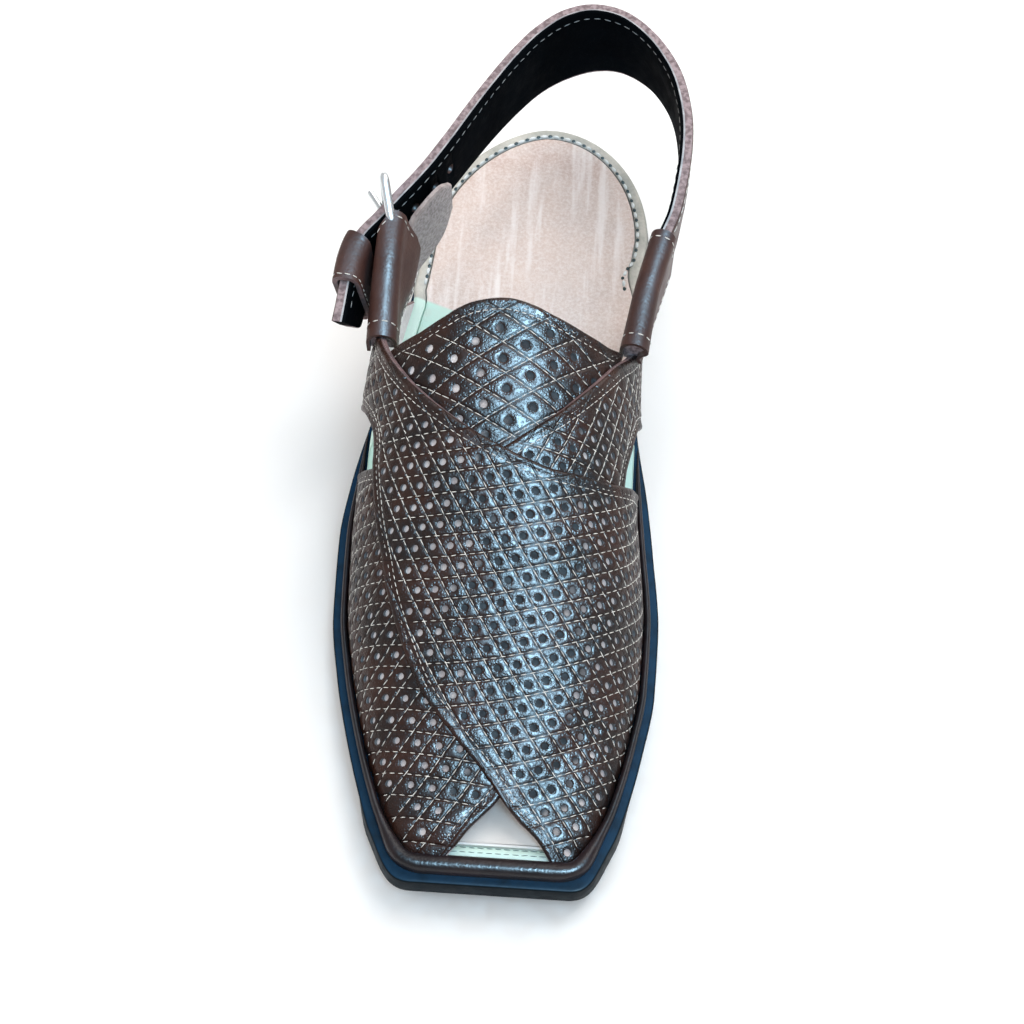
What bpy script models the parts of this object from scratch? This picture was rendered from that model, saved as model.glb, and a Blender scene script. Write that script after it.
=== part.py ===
"""Right-foot peshawari chappal: rubber outsole and heel, stitched footbed, two crossing bands, tongue, back strap.

Tables and constants are in millimetres and MM turns them into Blender's metres. +Z is up, the toe
points along -Y and the inner (medial) side of the foot is +X. The origin is the centre of the heel's
ground face. The upper is laid out on the surface of the last: a place on it is (u, y), where y is the
station along the foot and u runs from the crown line (0) down to the foot of the wall, -1 on the
outer (lateral) side and +1 on the inner (medial) side, in equal shares of the section's arc length.
"""

from __future__ import annotations

import math
from bisect import bisect_right
from functools import lru_cache
from typing import Callable, NamedTuple, Sequence

import bmesh
import bpy
from mathutils import Vector

MM = 0.001
GAP = 0.3
WRAP_GAP = 0.45
LATERAL, MEDIAL = -1, 1

# ---------------------------------------------------------------- sizes of the sole
HEEL_BACK = 40.5
HEEL_CENTRE = -8.0
HEEL_POWER_LATERAL, HEEL_POWER_MEDIAL = 1.7, 2.0
HEEL_STEPS = 9
HEEL_FIRST_ANGLE = 84.0
CORNER_START = -224.0
TOE_FRONT = -238.0
CORNER_STEPS = 6
CORNER_PULL = 7.0
SQUARE_INSET = 8.0
STATION_PITCH = 8.0
HEEL_BREAST = -25.0
HEEL_SEAT = 15.5
HEEL_INSET, HEEL_TAPER = 1.4, 0.6
EDGE_ROUND = 0.8
SIDE_DRAFT = 1.0


class SoleRow(NamedTuple):
    """One station of the sole: half widths, heights and what stands on its edge."""

    y: float
    lateral: float
    medial: float
    top: float
    under: float
    ledge: float
    rand: float


SOLE = (
    SoleRow(y=HEEL_CENTRE, lateral=41.6, medial=37.7, top=23.4, under=HEEL_SEAT, ledge=0, rand=0),
    SoleRow(y=-26, lateral=43.0, medial=35.8, top=23.0, under=HEEL_SEAT, ledge=0, rand=0),
    SoleRow(y=-50, lateral=47.0, medial=34.6, top=21.3, under=12.8, ledge=0, rand=0),
    SoleRow(y=-78, lateral=52.8, medial=36.6, top=17.8, under=8.0, ledge=0, rand=0),
    SoleRow(y=-104, lateral=58.2, medial=41.4, top=14.0, under=2.4, ledge=2.2, rand=1.8),
    SoleRow(y=-122, lateral=60.2, medial=44.0, top=11.8, under=0, ledge=2.7, rand=2.2),
    SoleRow(y=-150, lateral=59.3, medial=46.8, top=10.3, under=0, ledge=2.7, rand=2.2),
    SoleRow(y=-172, lateral=55.6, medial=46.3, top=10.0, under=0, ledge=2.7, rand=2.2),
    SoleRow(y=-190, lateral=51.0, medial=43.5, top=10.2, under=0, ledge=2.7, rand=2.2),
    SoleRow(y=-212, lateral=44.0, medial=38.5, top=11.2, under=2.4, ledge=2.9, rand=2.4),
    SoleRow(y=CORNER_START, lateral=39.2, medial=34.2, top=12.0, under=4.0, ledge=3.3, rand=2.7),
    SoleRow(y=TOE_FRONT, lateral=26.0, medial=22.0, top=13.0, under=5.6, ledge=4.4, rand=2.8),
)

# Grooves across the tread, by the station of each one's middle.
GROOVE_WIDTH = 2.4
GROOVE_DEPTH = 1.6
GROOVE_REACH = 80.0
HEEL_GROOVES = (24.0, 12.0)
FOREFOOT_GROOVES = tuple(-136.0 - 9.0 * k for k in range(6))

# ---------------------------------------------------------------- sizes of the footbed and rand
BOARD_HEEL, BOARD_TOE = 4.0, 2.5
BOARD_THIN_START, BOARD_THIN_END = -60.0, -150.0
BOARD_INSET_HEEL, BOARD_CLEAR = 0.5, 0.9
STEP_LATERAL, STEP_MEDIAL = (-32.0, -40.0), (-16.0, -30.0)
RIM_ROUND = 1.6
RIM_WIDTH = 4.4
COVER_RECESS = 1.6
COVER = 1.2
COVER_TOE = -220.0
RAND_START = -84.0
RAND_HEIGHT = 4.6

# ---------------------------------------------------------------- sizes of the upper
WALL = 2.2
LAP = 0.6
EDGE_COLUMN = 1.5
QUARTER_INSET = 1.2
TONGUE_WALL = 2.0
TONGUE_COUNTS = (20, 10)
BAND_LENGTHS, BAND_WIDTHS = 34, 14
LIFT_RAMP = 6.0
SECTION_STEPS = 40


class LastRow(NamedTuple):
    """One section of the last: its crown, how far each wall swells, and its squareness."""

    y: float
    crown_x: float
    crown_z: float
    swell_lateral: float
    swell_medial: float
    square: float


LAST = (
    LastRow(y=-20, crown_x=-10, crown_z=98, swell_lateral=5.0, swell_medial=4.5, square=2.6),
    LastRow(y=-50, crown_x=-10, crown_z=94, swell_lateral=5.0, swell_medial=4.5, square=2.6),
    LastRow(y=-76, crown_x=-9.5, crown_z=84.5, swell_lateral=3.5, swell_medial=2.5, square=2.5),
    LastRow(y=-96, crown_x=-8, crown_z=76, swell_lateral=1.5, swell_medial=1.0, square=2.4),
    LastRow(y=-118, crown_x=-6, crown_z=65.5, swell_lateral=0.5, swell_medial=0.5, square=2.3),
    LastRow(y=-140, crown_x=-5, crown_z=54, swell_lateral=0, swell_medial=0, square=2.25),
    LastRow(y=-160, crown_x=-4.5, crown_z=43.5, swell_lateral=0, swell_medial=0, square=2.2),
    LastRow(y=-180, crown_x=-4, crown_z=34, swell_lateral=0, swell_medial=0, square=2.2),
    LastRow(y=-200, crown_x=-3, crown_z=25.5, swell_lateral=0, swell_medial=0, square=2.25),
    LastRow(y=-214, crown_x=-2, crown_z=20.8, swell_lateral=0, swell_medial=0, square=2.3),
    LastRow(y=-224, crown_x=-2, crown_z=18.8, swell_lateral=0, swell_medial=0, square=2.4),
    LastRow(y=-229, crown_x=-2, crown_z=17.2, swell_lateral=0, swell_medial=0, square=2.4),
)


class FrontEdge(NamedTuple):
    """A band's front edge from the waist to the toe notch: v is u towards the band's own waist."""

    y: float
    over: float
    under: float


FRONT_EDGE = (
    FrontEdge(y=-80, over=1.0, under=1.0),
    FrontEdge(y=-86, over=0.84, under=0.85),
    FrontEdge(y=-92, over=0.70, under=0.72),
    FrontEdge(y=-103, over=0.58, under=0.645),
    FrontEdge(y=-114, over=0.545, under=0.59),
    FrontEdge(y=-128, over=0.544, under=0.56),
    FrontEdge(y=-149, over=0.522, under=0.53),
    FrontEdge(y=-161, over=0.505, under=0.51),
    FrontEdge(y=-173, over=0.472, under=0.475),
    FrontEdge(y=-181.5, over=0.43, under=0.43),
    FrontEdge(y=-196, over=0.247, under=0.28),
    FrontEdge(y=-206.5, over=0.053, under=0.13),
    FrontEdge(y=-213.5, over=-0.074, under=0.028),
    FrontEdge(y=-219.8, over=-0.27, under=-0.145),
    FrontEdge(y=-224.5, over=-0.53, under=-0.33),
    FrontEdge(y=-228.8, over=-0.77, under=-0.575),
)


class TopEdge(NamedTuple):
    """A band's top edge from its waist foot, over its throat corner, to its far foot."""

    v: float
    over: float
    under: float


TOP_EDGE = (
    TopEdge(v=1.0, over=-40.5, under=-33),
    TopEdge(v=0.85, over=-47, under=-46),
    TopEdge(v=0.70, over=-58, under=-61),
    TopEdge(v=0.61, over=-67, under=-71.8),
    TopEdge(v=0.46, over=-82.9, under=-83.1),
    TopEdge(v=0.32, over=-97, under=-95.4),
    TopEdge(v=0.20, over=-106, under=-104.8),
    TopEdge(v=0.10, over=-111.6, under=-110.6),
    TopEdge(v=0.0, over=-115.6, under=-115.8),
    TopEdge(v=-0.1, over=-118.5, under=-119),
    TopEdge(v=-0.21, over=-120.2, under=-120.4),
    TopEdge(v=-0.39, over=-119.5, under=-119),
    TopEdge(v=-0.55, over=-116.5, under=-115.5),
    TopEdge(v=-0.70, over=-112, under=-111.5),
    TopEdge(v=-1.0, over=-103, under=-102),
)


class TongueEdge(NamedTuple):
    """The tongue's arched top edge and its hidden lower edge, across the foot."""

    u: float
    top: float
    bottom: float


TONGUE_EDGE = (
    TongueEdge(u=-0.62, top=-80.0, bottom=-108),
    TongueEdge(u=-0.41, top=-80.9, bottom=-124),
    TongueEdge(u=-0.34, top=-80.9, bottom=-129),
    TongueEdge(u=-0.21, top=-78.4, bottom=-135),
    TongueEdge(u=-0.156, top=-76.5, bottom=-137),
    TongueEdge(u=-0.085, top=-74.7, bottom=-138.5),
    TongueEdge(u=0.02, top=-73.6, bottom=-139),
    TongueEdge(u=0.12, top=-75.0, bottom=-138),
    TongueEdge(u=0.185, top=-76.5, bottom=-136.5),
    TongueEdge(u=0.33, top=-78.0, bottom=-130),
    TongueEdge(u=0.43, top=-77.6, bottom=-122),
    TongueEdge(u=0.54, top=-74.9, bottom=-112),
)

# ---------------------------------------------------------------- sizes of the straps and buckle
STRAP = 4.2
STRAP_POINTS = 56
TIP_SLANT, TIP_LENGTH = 3.0, 8.0


class StrapRow(NamedTuple):
    """A place on the back strap's middle: its top edge, its width and how far the top leans out."""

    x: float
    y: float
    top: float
    width: float
    lean: float


BACK_STRAP = (
    StrapRow(x=35.4, y=-58.0, top=66.4, width=16.0, lean=0),
    StrapRow(x=37.2, y=-48.0, top=70.0, width=18.5, lean=0),
    StrapRow(x=40.2, y=-38.0, top=73.4, width=20.5, lean=0.2),
    StrapRow(x=43.3, y=-29.0, top=75.4, width=22.5, lean=0.3),
    StrapRow(x=45.2, y=-17.2, top=77.6, width=25.0, lean=0.2),
    StrapRow(x=46.1, y=-6.0, top=79.6, width=27.0, lean=-0.4),
    StrapRow(x=45.6, y=6.2, top=80.6, width=28.0, lean=-1.8),
    StrapRow(x=42.8, y=19.4, top=81.2, width=28.5, lean=-3.2),
    StrapRow(x=38.4, y=29.6, top=81.5, width=28.8, lean=-4.0),
    StrapRow(x=32.0, y=39.0, top=81.5, width=29.0, lean=-3.7),
    StrapRow(x=23.4, y=46.2, top=81.5, width=29.0, lean=-1.6),
    StrapRow(x=13.0, y=48.6, top=81.5, width=28.8, lean=1.6),
    StrapRow(x=3.2, y=45.0, top=81.4, width=28.4, lean=2.5),
    StrapRow(x=-5.6, y=37.0, top=81.2, width=27.6, lean=2.0),
    StrapRow(x=-12.7, y=26.6, top=80.9, width=26.6, lean=1.3),
    StrapRow(x=-19.6, y=14.6, top=80.6, width=25.4, lean=0.9),
    StrapRow(x=-25.9, y=2.5, top=80.3, width=24.0, lean=0.8),
    StrapRow(x=-32.0, y=-9.6, top=79.8, width=22.6, lean=0.8),
    StrapRow(x=-37.3, y=-19.2, top=79.0, width=21.2, lean=0.8),
    StrapRow(x=-43.6, y=-27.6, top=77.2, width=20.0, lean=0.8),
    StrapRow(x=-51.0, y=-36.2, top=74.2, width=19.5, lean=0.9),
    StrapRow(x=-57.0, y=-43.2, top=71.8, width=19.5, lean=1.2),
    StrapRow(x=-59.6, y=-51.0, top=70.2, width=19.5, lean=1.8),
    StrapRow(x=-60.6, y=-61.0, top=68.3, width=18.0, lean=2.8),
    StrapRow(x=-61.1, y=-67.5, top=67.1, width=14.0, lean=2.8),
    StrapRow(x=-61.6, y=-73.5, top=66.0, width=6.5, lean=1.6),
)
HOLE_RADIUS, PRONG_HOLE_RADIUS = 1.7, 2.1
HOLE_PITCH = 9.0
SPARE_HOLES = 3
BUCKLE_SIDE_X = -40.0
HOLE_SIDES = 10


class SleeveRow(NamedTuple):
    """A station of a folded sleeve: the middle of its ridge, its width and depth, and the shape of its leaves.

    The inner leaf may swell towards the foot (belly), and either leaf's end may stop short: the
    outer leaf as a whole (short), the inner one more and more towards its lower edge (cut).
    """

    x: float
    y: float
    ridge: float
    width: float
    depth: float
    belly: float = 0.0
    short: float = 0.0
    cut: float = 0.0


MEDIAL_SLEEVE = (
    SleeveRow(x=32.8, y=-74.0, ridge=64.2, width=9.4, depth=11.0, belly=-2.6),
    SleeveRow(x=34.0, y=-66.0, ridge=66.2, width=8.8, depth=13.0, belly=-1.2),
    SleeveRow(x=36.0, y=-54.0, ridge=70.2, width=8.3, depth=18.5),
    SleeveRow(x=40.2, y=-37.5, ridge=75.8, width=8.2, depth=23.5),
)
LATERAL_SLEEVE = (
    SleeveRow(x=-48.2, y=-74.5, ridge=61.3, width=10.0, depth=10.0),
    SleeveRow(x=-48.2, y=-62.0, ridge=67.0, width=9.4, depth=14.0, belly=0.8),
    SleeveRow(x=-47.8, y=-50.0, ridge=72.4, width=9.0, depth=22.0, belly=3.4, short=1.0),
    SleeveRow(x=-47.0, y=-36.5, ridge=76.4, width=8.6, depth=25.0, belly=4.4, short=6.0, cut=9.0),
)
SLEEVE_WALL = 1.1
SLEEVE_POINTS = 13
ARCH_STEPS = 8
LEAF_MIDDLE, LEAF_END = 0.55, 0.75

WIRE_RADIUS = 1.5
BUCKLE_BASE = (-47.3, -40.2)
BUCKLE_END = (-50.8, -26.6)
BASE_LOW, BASE_HIGH = 52.0, 74.2
END_LOW, END_HIGH = 50.0, 82.4
BUCKLE_CORNER = 3.6
PRONG_RADIUS = 1.1
PRONG_HEIGHT = 66.0
PRONG_TIP = (-56.4, -23.2)
PRONG_RISE = 1.2
PRONG_WRAP = (-140.0, -320.0)
WRAP_STEPS = 6
SLOT_REACH = 12.0
NOTCH_DEPTH = 4.0

KEEPER_WALL = 1.6
KEEPER_START, KEEPER_END = 12.5, 29.5
KEEPER_SLACK = 0.8
KEEPER_CORNER = 1.1

FLAP = 2.0
FLAP_POINTS = 16


class FlapRow(NamedTuple):
    """A station of the guard flap behind the buckle: its middle, top edge and bottom edge."""

    x: float
    y: float
    top: float
    bottom: float


GUARD_FLAP = (
    FlapRow(x=-42.9, y=-47.0, top=60.0, bottom=48.0),
    FlapRow(x=-42.8, y=-41.0, top=63.0, bottom=42.0),
    FlapRow(x=-41.8, y=-35.0, top=68.6, bottom=41.0),
    FlapRow(x=-38.0, y=-29.4, top=71.2, bottom=43.0),
    FlapRow(x=-33.6, y=-23.4, top=72.2, bottom=47.5),
    FlapRow(x=-30.8, y=-18.6, top=68.5, bottom=56.0),
)


class Finish(NamedTuple):
    """What a material looks like."""

    colour: tuple[float, float, float]
    roughness: float
    metallic: float = 0.0


FINISHES = {
    "black_rubber": Finish(colour=(0.012, 0.014, 0.018), roughness=0.55),
    "rand_leather": Finish(colour=(0.045, 0.018, 0.012), roughness=0.3),
    "rim_leather": Finish(colour=(0.62, 0.56, 0.46), roughness=0.6),
    "insole_leather": Finish(colour=(0.56, 0.33, 0.22), roughness=0.65),
    "brown_leather": Finish(colour=(0.075, 0.028, 0.018), roughness=0.35),
    "suede": Finish(colour=(0.25, 0.17, 0.14), roughness=0.9),
    "steel": Finish(colour=(0.62, 0.62, 0.6), roughness=0.25, metallic=1.0),
}

Point = tuple[float, float, float]


# ---------------------------------------------------------------- reading the tables
def read(rows: Sequence, column: str, at: float, key: str = "y") -> float:
    """A table's column at a place between its rows, on a smooth curve that never overshoots."""
    keys = [getattr(row, key) for row in rows]
    values = [getattr(row, column) for row in rows]
    if at >= keys[0]:
        return values[0]
    if at <= keys[-1]:
        return values[-1]
    i = next(k for k in range(len(keys) - 1) if keys[k + 1] <= at)
    steps = [keys[k + 1] - keys[k] for k in range(len(keys) - 1)]
    slopes = [(values[k + 1] - values[k]) / steps[k] for k in range(len(steps))]

    def tangent(k: int) -> float:
        if k == 0:
            return slopes[0]
        if k == len(slopes):
            return slopes[-1]
        a, b = slopes[k - 1], slopes[k]
        return 2 * a * b / (a + b) if a * b > 0 else 0.0

    t = (at - keys[i]) / steps[i]
    start = values[i] * (2 * t**3 - 3 * t**2 + 1) + tangent(i) * steps[i] * (t**3 - 2 * t**2 + t)
    end = values[i + 1] * (3 * t**2 - 2 * t**3) + tangent(i + 1) * steps[i] * (t**3 - t**2)
    return start + end


def smooth_step(t: float) -> float:
    """0 to 1 with flat ends."""
    t = min(max(t, 0.0), 1.0)
    return t * t * (3 - 2 * t)


def spline(points: Sequence[Vector], count: int) -> list[Vector]:
    """Evenly numbered places on a Catmull-Rom curve through all the points."""
    ends = [2 * points[0] - points[1], *points, 2 * points[-1] - points[-2]]
    spans = len(points) - 1
    places = []
    for k in range(count):
        at = k * spans / (count - 1)
        i = min(int(at), spans - 1)
        t = at - i
        a, b, c, d = ends[i : i + 4]
        places.append(
            0.5 * (2 * b + (c - a) * t + (2 * a - 5 * b + 4 * c - d) * t**2 + (3 * b - a - 3 * c + d) * t**3)
        )
    return places


# ---------------------------------------------------------------- outline of the sole
@lru_cache(None)
def outline(side: int) -> tuple[tuple[float, float], ...]:
    """One side of the sole's outline from the heel's back to the toe's front, at the same stations on both."""
    column = "lateral" if side == LATERAL else "medial"
    heel_width = read(SOLE, column, HEEL_CENTRE)
    power = HEEL_POWER_LATERAL if side == LATERAL else HEEL_POWER_MEDIAL
    points = []
    for k in range(HEEL_STEPS):
        angle = math.radians(HEEL_FIRST_ANGLE * (1 - k / HEEL_STEPS))
        back = (HEEL_BACK - HEEL_CENTRE) * math.sin(angle)
        out = (1 - math.sin(angle) ** power) ** (1 / power)
        points.append((side * heel_width * out, HEEL_CENTRE + back))
    for k in range(int((HEEL_CENTRE - CORNER_START) / STATION_PITCH) + 1):
        y = HEEL_CENTRE - k * STATION_PITCH
        points.append((side * read(SOLE, column, y), y))
    depth = CORNER_START - TOE_FRONT
    start_x, end_x = read(SOLE, column, CORNER_START), read(SOLE, column, TOE_FRONT)
    slope = (start_x - read(SOLE, column, CORNER_START + 2)) / 2
    pulls = (
        (start_x, CORNER_START),
        (start_x + slope * depth * 0.6, CORNER_START - depth * 0.62),
        (end_x + CORNER_PULL, TOE_FRONT),
        (end_x, TOE_FRONT),
    )
    for k in range(1, CORNER_STEPS + 1):
        t = k / CORNER_STEPS
        weights = ((1 - t) ** 3, 3 * t * (1 - t) ** 2, 3 * t * t * (1 - t), t**3)
        x = sum(w * p[0] for w, p in zip(weights, pulls))
        points.append((side * x, sum(w * p[1] for w, p in zip(weights, pulls))))
    return tuple(points)


def inset_outline(
    side: int, inset: Callable[[float], float], squeeze: Callable[[float], float] = lambda y: 0.0
) -> list[tuple[float, float]]:
    """The outline moved inwards by an amount that depends on the station.

    The first SQUARE_INSET of it is square to the edge. Anything more narrows the shape evenly, so
    that a deep inset never folds over at the toe's corners. The squeeze narrows it without
    shortening it.
    """
    points = outline(side)
    moved = []
    for i, (x, y) in enumerate(points):
        before, after = points[max(i - 1, 0)], points[min(i + 1, len(points) - 1)]
        along = (after[0] - before[0], after[1] - before[1])
        if i == len(points) - 1:
            along = (-side, 0.0)
        depth = min(inset(y), SQUARE_INSET) / math.hypot(*along)
        moved.append((x + side * along[1] * depth, y - side * along[0] * depth))
    corner_x, corner_y = moved[-1 - CORNER_STEPS]
    front_y = moved[-1][1]
    for i, (x, y) in enumerate(moved):
        extra = max(inset(points[i][1]) - SQUARE_INSET, 0.0)
        share = min(1.0, abs(x / corner_x))
        passed = max(0.0, (corner_y - y) / (corner_y - front_y))
        narrower = extra + squeeze(points[i][1])
        moved[i] = (x - side * narrower * share, y + extra * passed)
    return moved


def sole_top(y: float) -> float:
    return read(SOLE, "top", y)


def sole_under(y: float) -> float:
    return read(SOLE, "under", y)


def upper_inset(y: float) -> float:
    """How far the upper's outer face stands inside the sole's edge."""
    return max(QUARTER_INSET, read(SOLE, "ledge", y) + read(SOLE, "rand", y) + WRAP_GAP)


def board_top(y: float) -> float:
    """The footbed board's top face, thinner from the waist on."""
    thin = smooth_step((BOARD_THIN_START - y) / (BOARD_THIN_START - BOARD_THIN_END))
    return sole_top(y) + GAP + BOARD_HEEL + (BOARD_TOE - BOARD_HEEL) * thin


def board_inset(y: float, side: int) -> float:
    """How far the footbed's edge stands inside the sole's edge: full width at the heel, inside the upper ahead."""
    start, end = STEP_LATERAL if side == LATERAL else STEP_MEDIAL
    step = smooth_step((start - y) / (start - end))
    return BOARD_INSET_HEEL + step * (upper_inset(y) + WALL + BOARD_CLEAR - BOARD_INSET_HEEL)


def board_squeeze(y: float, side: int) -> float:
    """How much narrower the footbed is ahead, where the upper closes in over its edge."""
    if y > STEP_LATERAL[1]:
        return 0.0
    y = max(y, TOE_WALL)
    return abs(foot_x(y, side)) - abs(last_x(y, side, board_top(y)))


# ---------------------------------------------------------------- mesh helpers
def material(name: str) -> bpy.types.Material:
    """The named finish as a Principled BSDF, made once."""
    made = bpy.data.materials.get(name)
    if made:
        return made
    finish = FINISHES[name]
    made = bpy.data.materials.new(name)
    made.use_nodes = True
    shader = made.node_tree.nodes["Principled BSDF"]
    shader.inputs["Base Color"].default_value = (*finish.colour, 1.0)
    shader.inputs["Roughness"].default_value = finish.roughness
    shader.inputs["Metallic"].default_value = finish.metallic
    return made


def add_object(name: str, points: Sequence[Sequence[float]], faces: Sequence[Sequence[int]], finish: str):
    """A closed mesh object from points in millimetres, with its normals turned outwards."""
    mesh = bpy.data.meshes.new(name)
    mesh.from_pydata([Vector(p) * MM for p in points], [], faces)
    shape = bmesh.new()
    shape.from_mesh(mesh)
    bmesh.ops.recalc_face_normals(shape, faces=shape.faces)
    shape.to_mesh(mesh)
    shape.free()
    mesh.shade_smooth()
    mesh.set_sharp_from_angle(angle=math.radians(35))
    made = bpy.data.objects.new(name, mesh)
    made.data.materials.append(material(finish))
    bpy.context.scene.collection.objects.link(made)
    return made


def cutter(name: str, points: Sequence[Sequence[float]], faces: Sequence[Sequence[int]]):
    """A mesh that only cuts others."""
    made = add_object(name, points, faces, "steel")
    made.hide_render = True
    made.display_type = "WIRE"
    return made


def box(name: str, low: Point, high: Point):
    """A box-shaped cutter between two corners."""
    corners = [(x, y, z) for x in (low[0], high[0]) for y in (low[1], high[1]) for z in (low[2], high[2])]
    faces = [(0, 1, 3, 2), (4, 6, 7, 5), (0, 4, 5, 1), (2, 3, 7, 6), (0, 2, 6, 4), (1, 5, 7, 3)]
    return cutter(name, corners, faces)


def combine(target, other, operation: str) -> None:
    """Join another object to the target or cut it out, with an exact Boolean."""
    modifier = target.modifiers.new(f"{operation.lower()}_{other.name}", "BOOLEAN")
    modifier.operation = operation
    modifier.solver = "EXACT"
    modifier.object = other


def loft(name: str, rings: Sequence[Sequence[Sequence[float]]], finish: str, closed: bool = False):
    """A closed solid through rings of equal length, with flat ends or joined end to end."""
    size = len(rings[0])
    points = [p for ring in rings for p in ring]
    count = len(rings)
    faces = []
    for r in range(count if closed else count - 1):
        a, b = r * size, ((r + 1) % count) * size
        faces += [(a + k, a + (k + 1) % size, b + (k + 1) % size, b + k) for k in range(size)]
    if not closed:
        faces += [tuple(range(size)), tuple(range((count - 1) * size, count * size))]
    return add_object(name, points, faces, finish)


class Level(NamedTuple):
    """A line along the edge of a flat piece: how far in it runs on each side, and its height at each station."""

    inset: Callable[[float, int], float]
    height: Callable[[float], float]
    squeeze: Callable[[float, int], float] = lambda y, side: 0.0


def plate(name: str, levels: Sequence[Level], finish: str, heel: float = math.inf, toe: float = -math.inf):
    """A piece that follows the sole's outline, through levels from its underside to its top.

    Args:
        name: The node's name.
        levels: The lines round its edge, lowest first.
        finish: The name of its finish.
        heel: The station where it starts.
        toe: The station where it ends.
    """
    rings = []
    sides = {
        side: [
            inset_outline(side, lambda y: level.inset(y, side), lambda y: level.squeeze(y, side))
            for level in levels
        ]
        for side in (LATERAL, MEDIAL)
    }
    for k, (_, station) in enumerate(outline(LATERAL)):
        if not toe <= station <= heel:
            continue
        ring = []
        for side in (LATERAL, MEDIAL):
            order = range(len(levels)) if side == LATERAL else reversed(range(len(levels)))
            for n in order:
                x, y = sides[side][n][k]
                ring.append((x, y, levels[n].height(y)))
        rings.append(ring)
    return loft(name, rings, finish)


# ---------------------------------------------------------------- surface of the last
@lru_cache(None)
def foot_line(side: int) -> tuple[tuple[float, float], ...]:
    """Where the inner face of the upper's wall meets the sole."""
    return tuple(inset_outline(side, lambda y: upper_inset(y) + WALL))


TOE_WALL = foot_line(MEDIAL)[-1][1]


def last_x(y: float, side: int, height: float) -> float:
    """How far out the last's surface reaches at a height above its foot."""
    points, _ = section(round(y, 3), side)
    for a, b in zip(points, points[1:]):
        if b[1] <= height <= a[1]:
            return a[0] + (b[0] - a[0]) * (a[1] - height) / (a[1] - b[1])
    return points[0][0]


def foot_x(y: float, side: int) -> float:
    """Where the wall's inner face meets the sole at a station."""
    points = foot_line(side)
    for a, b in zip(points, points[1:]):
        if b[1] <= y <= a[1]:
            return a[0] + (b[0] - a[0]) * (a[1] - y) / (a[1] - b[1])
    return points[-1][0]


@lru_cache(None)
def section(y: float, side: int) -> tuple[tuple[tuple[float, float], ...], tuple[float, ...]]:
    """Half a section of the last, crown to foot, and the arc length at each of its points."""
    foot, floor = foot_x(y, side), sole_top(y) + GAP
    crown_x = read(LAST, "crown_x", y)
    crown_z = max(read(LAST, "crown_z", y), floor + GAP)
    swell = read(LAST, "swell_lateral" if side == LATERAL else "swell_medial", y)
    power = 2 / read(LAST, "square", y)
    points = []
    for k in range(SECTION_STEPS + 1):
        angle = math.pi / 2 * (1 - k / SECTION_STEPS)
        out, up = max(math.cos(angle), 0.0) ** power, math.sin(angle) ** power
        x = crown_x + (foot - crown_x) * out + side * swell * 4 * up * (1 - up) * out
        points.append((x, floor + (crown_z - floor) * up))
    lengths = [0.0]
    for a, b in zip(points, points[1:]):
        lengths.append(lengths[-1] + math.hypot(b[0] - a[0], b[1] - a[1]))
    return tuple(points), tuple(lengths)


def on_last(u: float, y: float) -> Vector:
    """The point of the last's surface at (u, y)."""
    points, lengths = section(round(y, 3), LATERAL if u < 0 else MEDIAL)
    length = min(abs(u), 1.0) * lengths[-1]
    i = min(bisect_right(lengths, length) - 1, SECTION_STEPS - 1)
    t = (length - lengths[i]) / (lengths[i + 1] - lengths[i])
    a, b = points[i], points[i + 1]
    return Vector((a[0] + (b[0] - a[0]) * t, y, a[1] + (b[1] - a[1]) * t))


def off_last(u: float, y: float, offset: float) -> Vector:
    """A point at some height above the last's surface."""
    y = max(y, TOE_WALL)
    across = on_last(min(u + 0.02, 1.0), y) - on_last(max(u - 0.02, -1.0), y)
    ahead = max(y - 0.8, TOE_WALL)
    along = on_last(u, ahead) - on_last(u, ahead + 1.6)
    normal = along.cross(across).normalized()
    if abs(u) > 0.999:
        normal.z = 0.0
        normal.normalize()
    return on_last(u, y) + normal * offset


def arc(y: float, side: int) -> float:
    """The length of half a section, crown to foot."""
    return section(round(y, 3), side)[1][-1]


# ---------------------------------------------------------------- the bands
class Band(NamedTuple):
    """One of the two crossing bands: the table column it reads and the side where its waist end stands."""

    column: str
    side: int


OVER = Band(column="over", side=LATERAL)
UNDER = Band(column="under", side=MEDIAL)


def band_place(band: Band, s: float, t: float) -> tuple[float, float]:
    """(u, y) on a band: s runs from its waist foot to its toe, t from its front edge to its top edge."""
    front_y = FRONT_EDGE[0].y + (FRONT_EDGE[-1].y - FRONT_EDGE[0].y) * s
    front = (read(FRONT_EDGE, band.column, front_y), front_y)
    top_v = 1 - 2 * s
    top = (top_v, read(TOP_EDGE, band.column, top_v, key="v"))
    waist = (1.0, FRONT_EDGE[0].y + (getattr(TOP_EDGE[0], band.column) - FRONT_EDGE[0].y) * t)
    notch_v = getattr(FRONT_EDGE[-1], band.column)
    toe_share = EDGE_COLUMN / BAND_WIDTHS
    if t < toe_share:
        far = (notch_v + (-1 - notch_v) * t / toe_share, FRONT_EDGE[-1].y)
    else:
        length = getattr(TOP_EDGE[-1], band.column) - FRONT_EDGE[-1].y
        far = (-1.0, FRONT_EDGE[-1].y + length * (t - toe_share) / (1 - toe_share))
    corners = {
        (0, 0): (1.0, FRONT_EDGE[0].y),
        (0, 1): (1.0, getattr(TOP_EDGE[0], band.column)),
        (1, 0): (notch_v, FRONT_EDGE[-1].y),
        (1, 1): (-1.0, getattr(TOP_EDGE[-1], band.column)),
    }
    place = []
    for axis in (0, 1):
        ruled = (1 - t) * front[axis] + t * top[axis] + (1 - s) * waist[axis] + s * far[axis]
        for (i, j), corner in corners.items():
            ruled -= (s if i else 1 - s) * (t if j else 1 - t) * corner[axis]
        place.append(ruled)
    return band.side * min(max(place[0], -1.0), 1.0), place[1]


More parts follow.
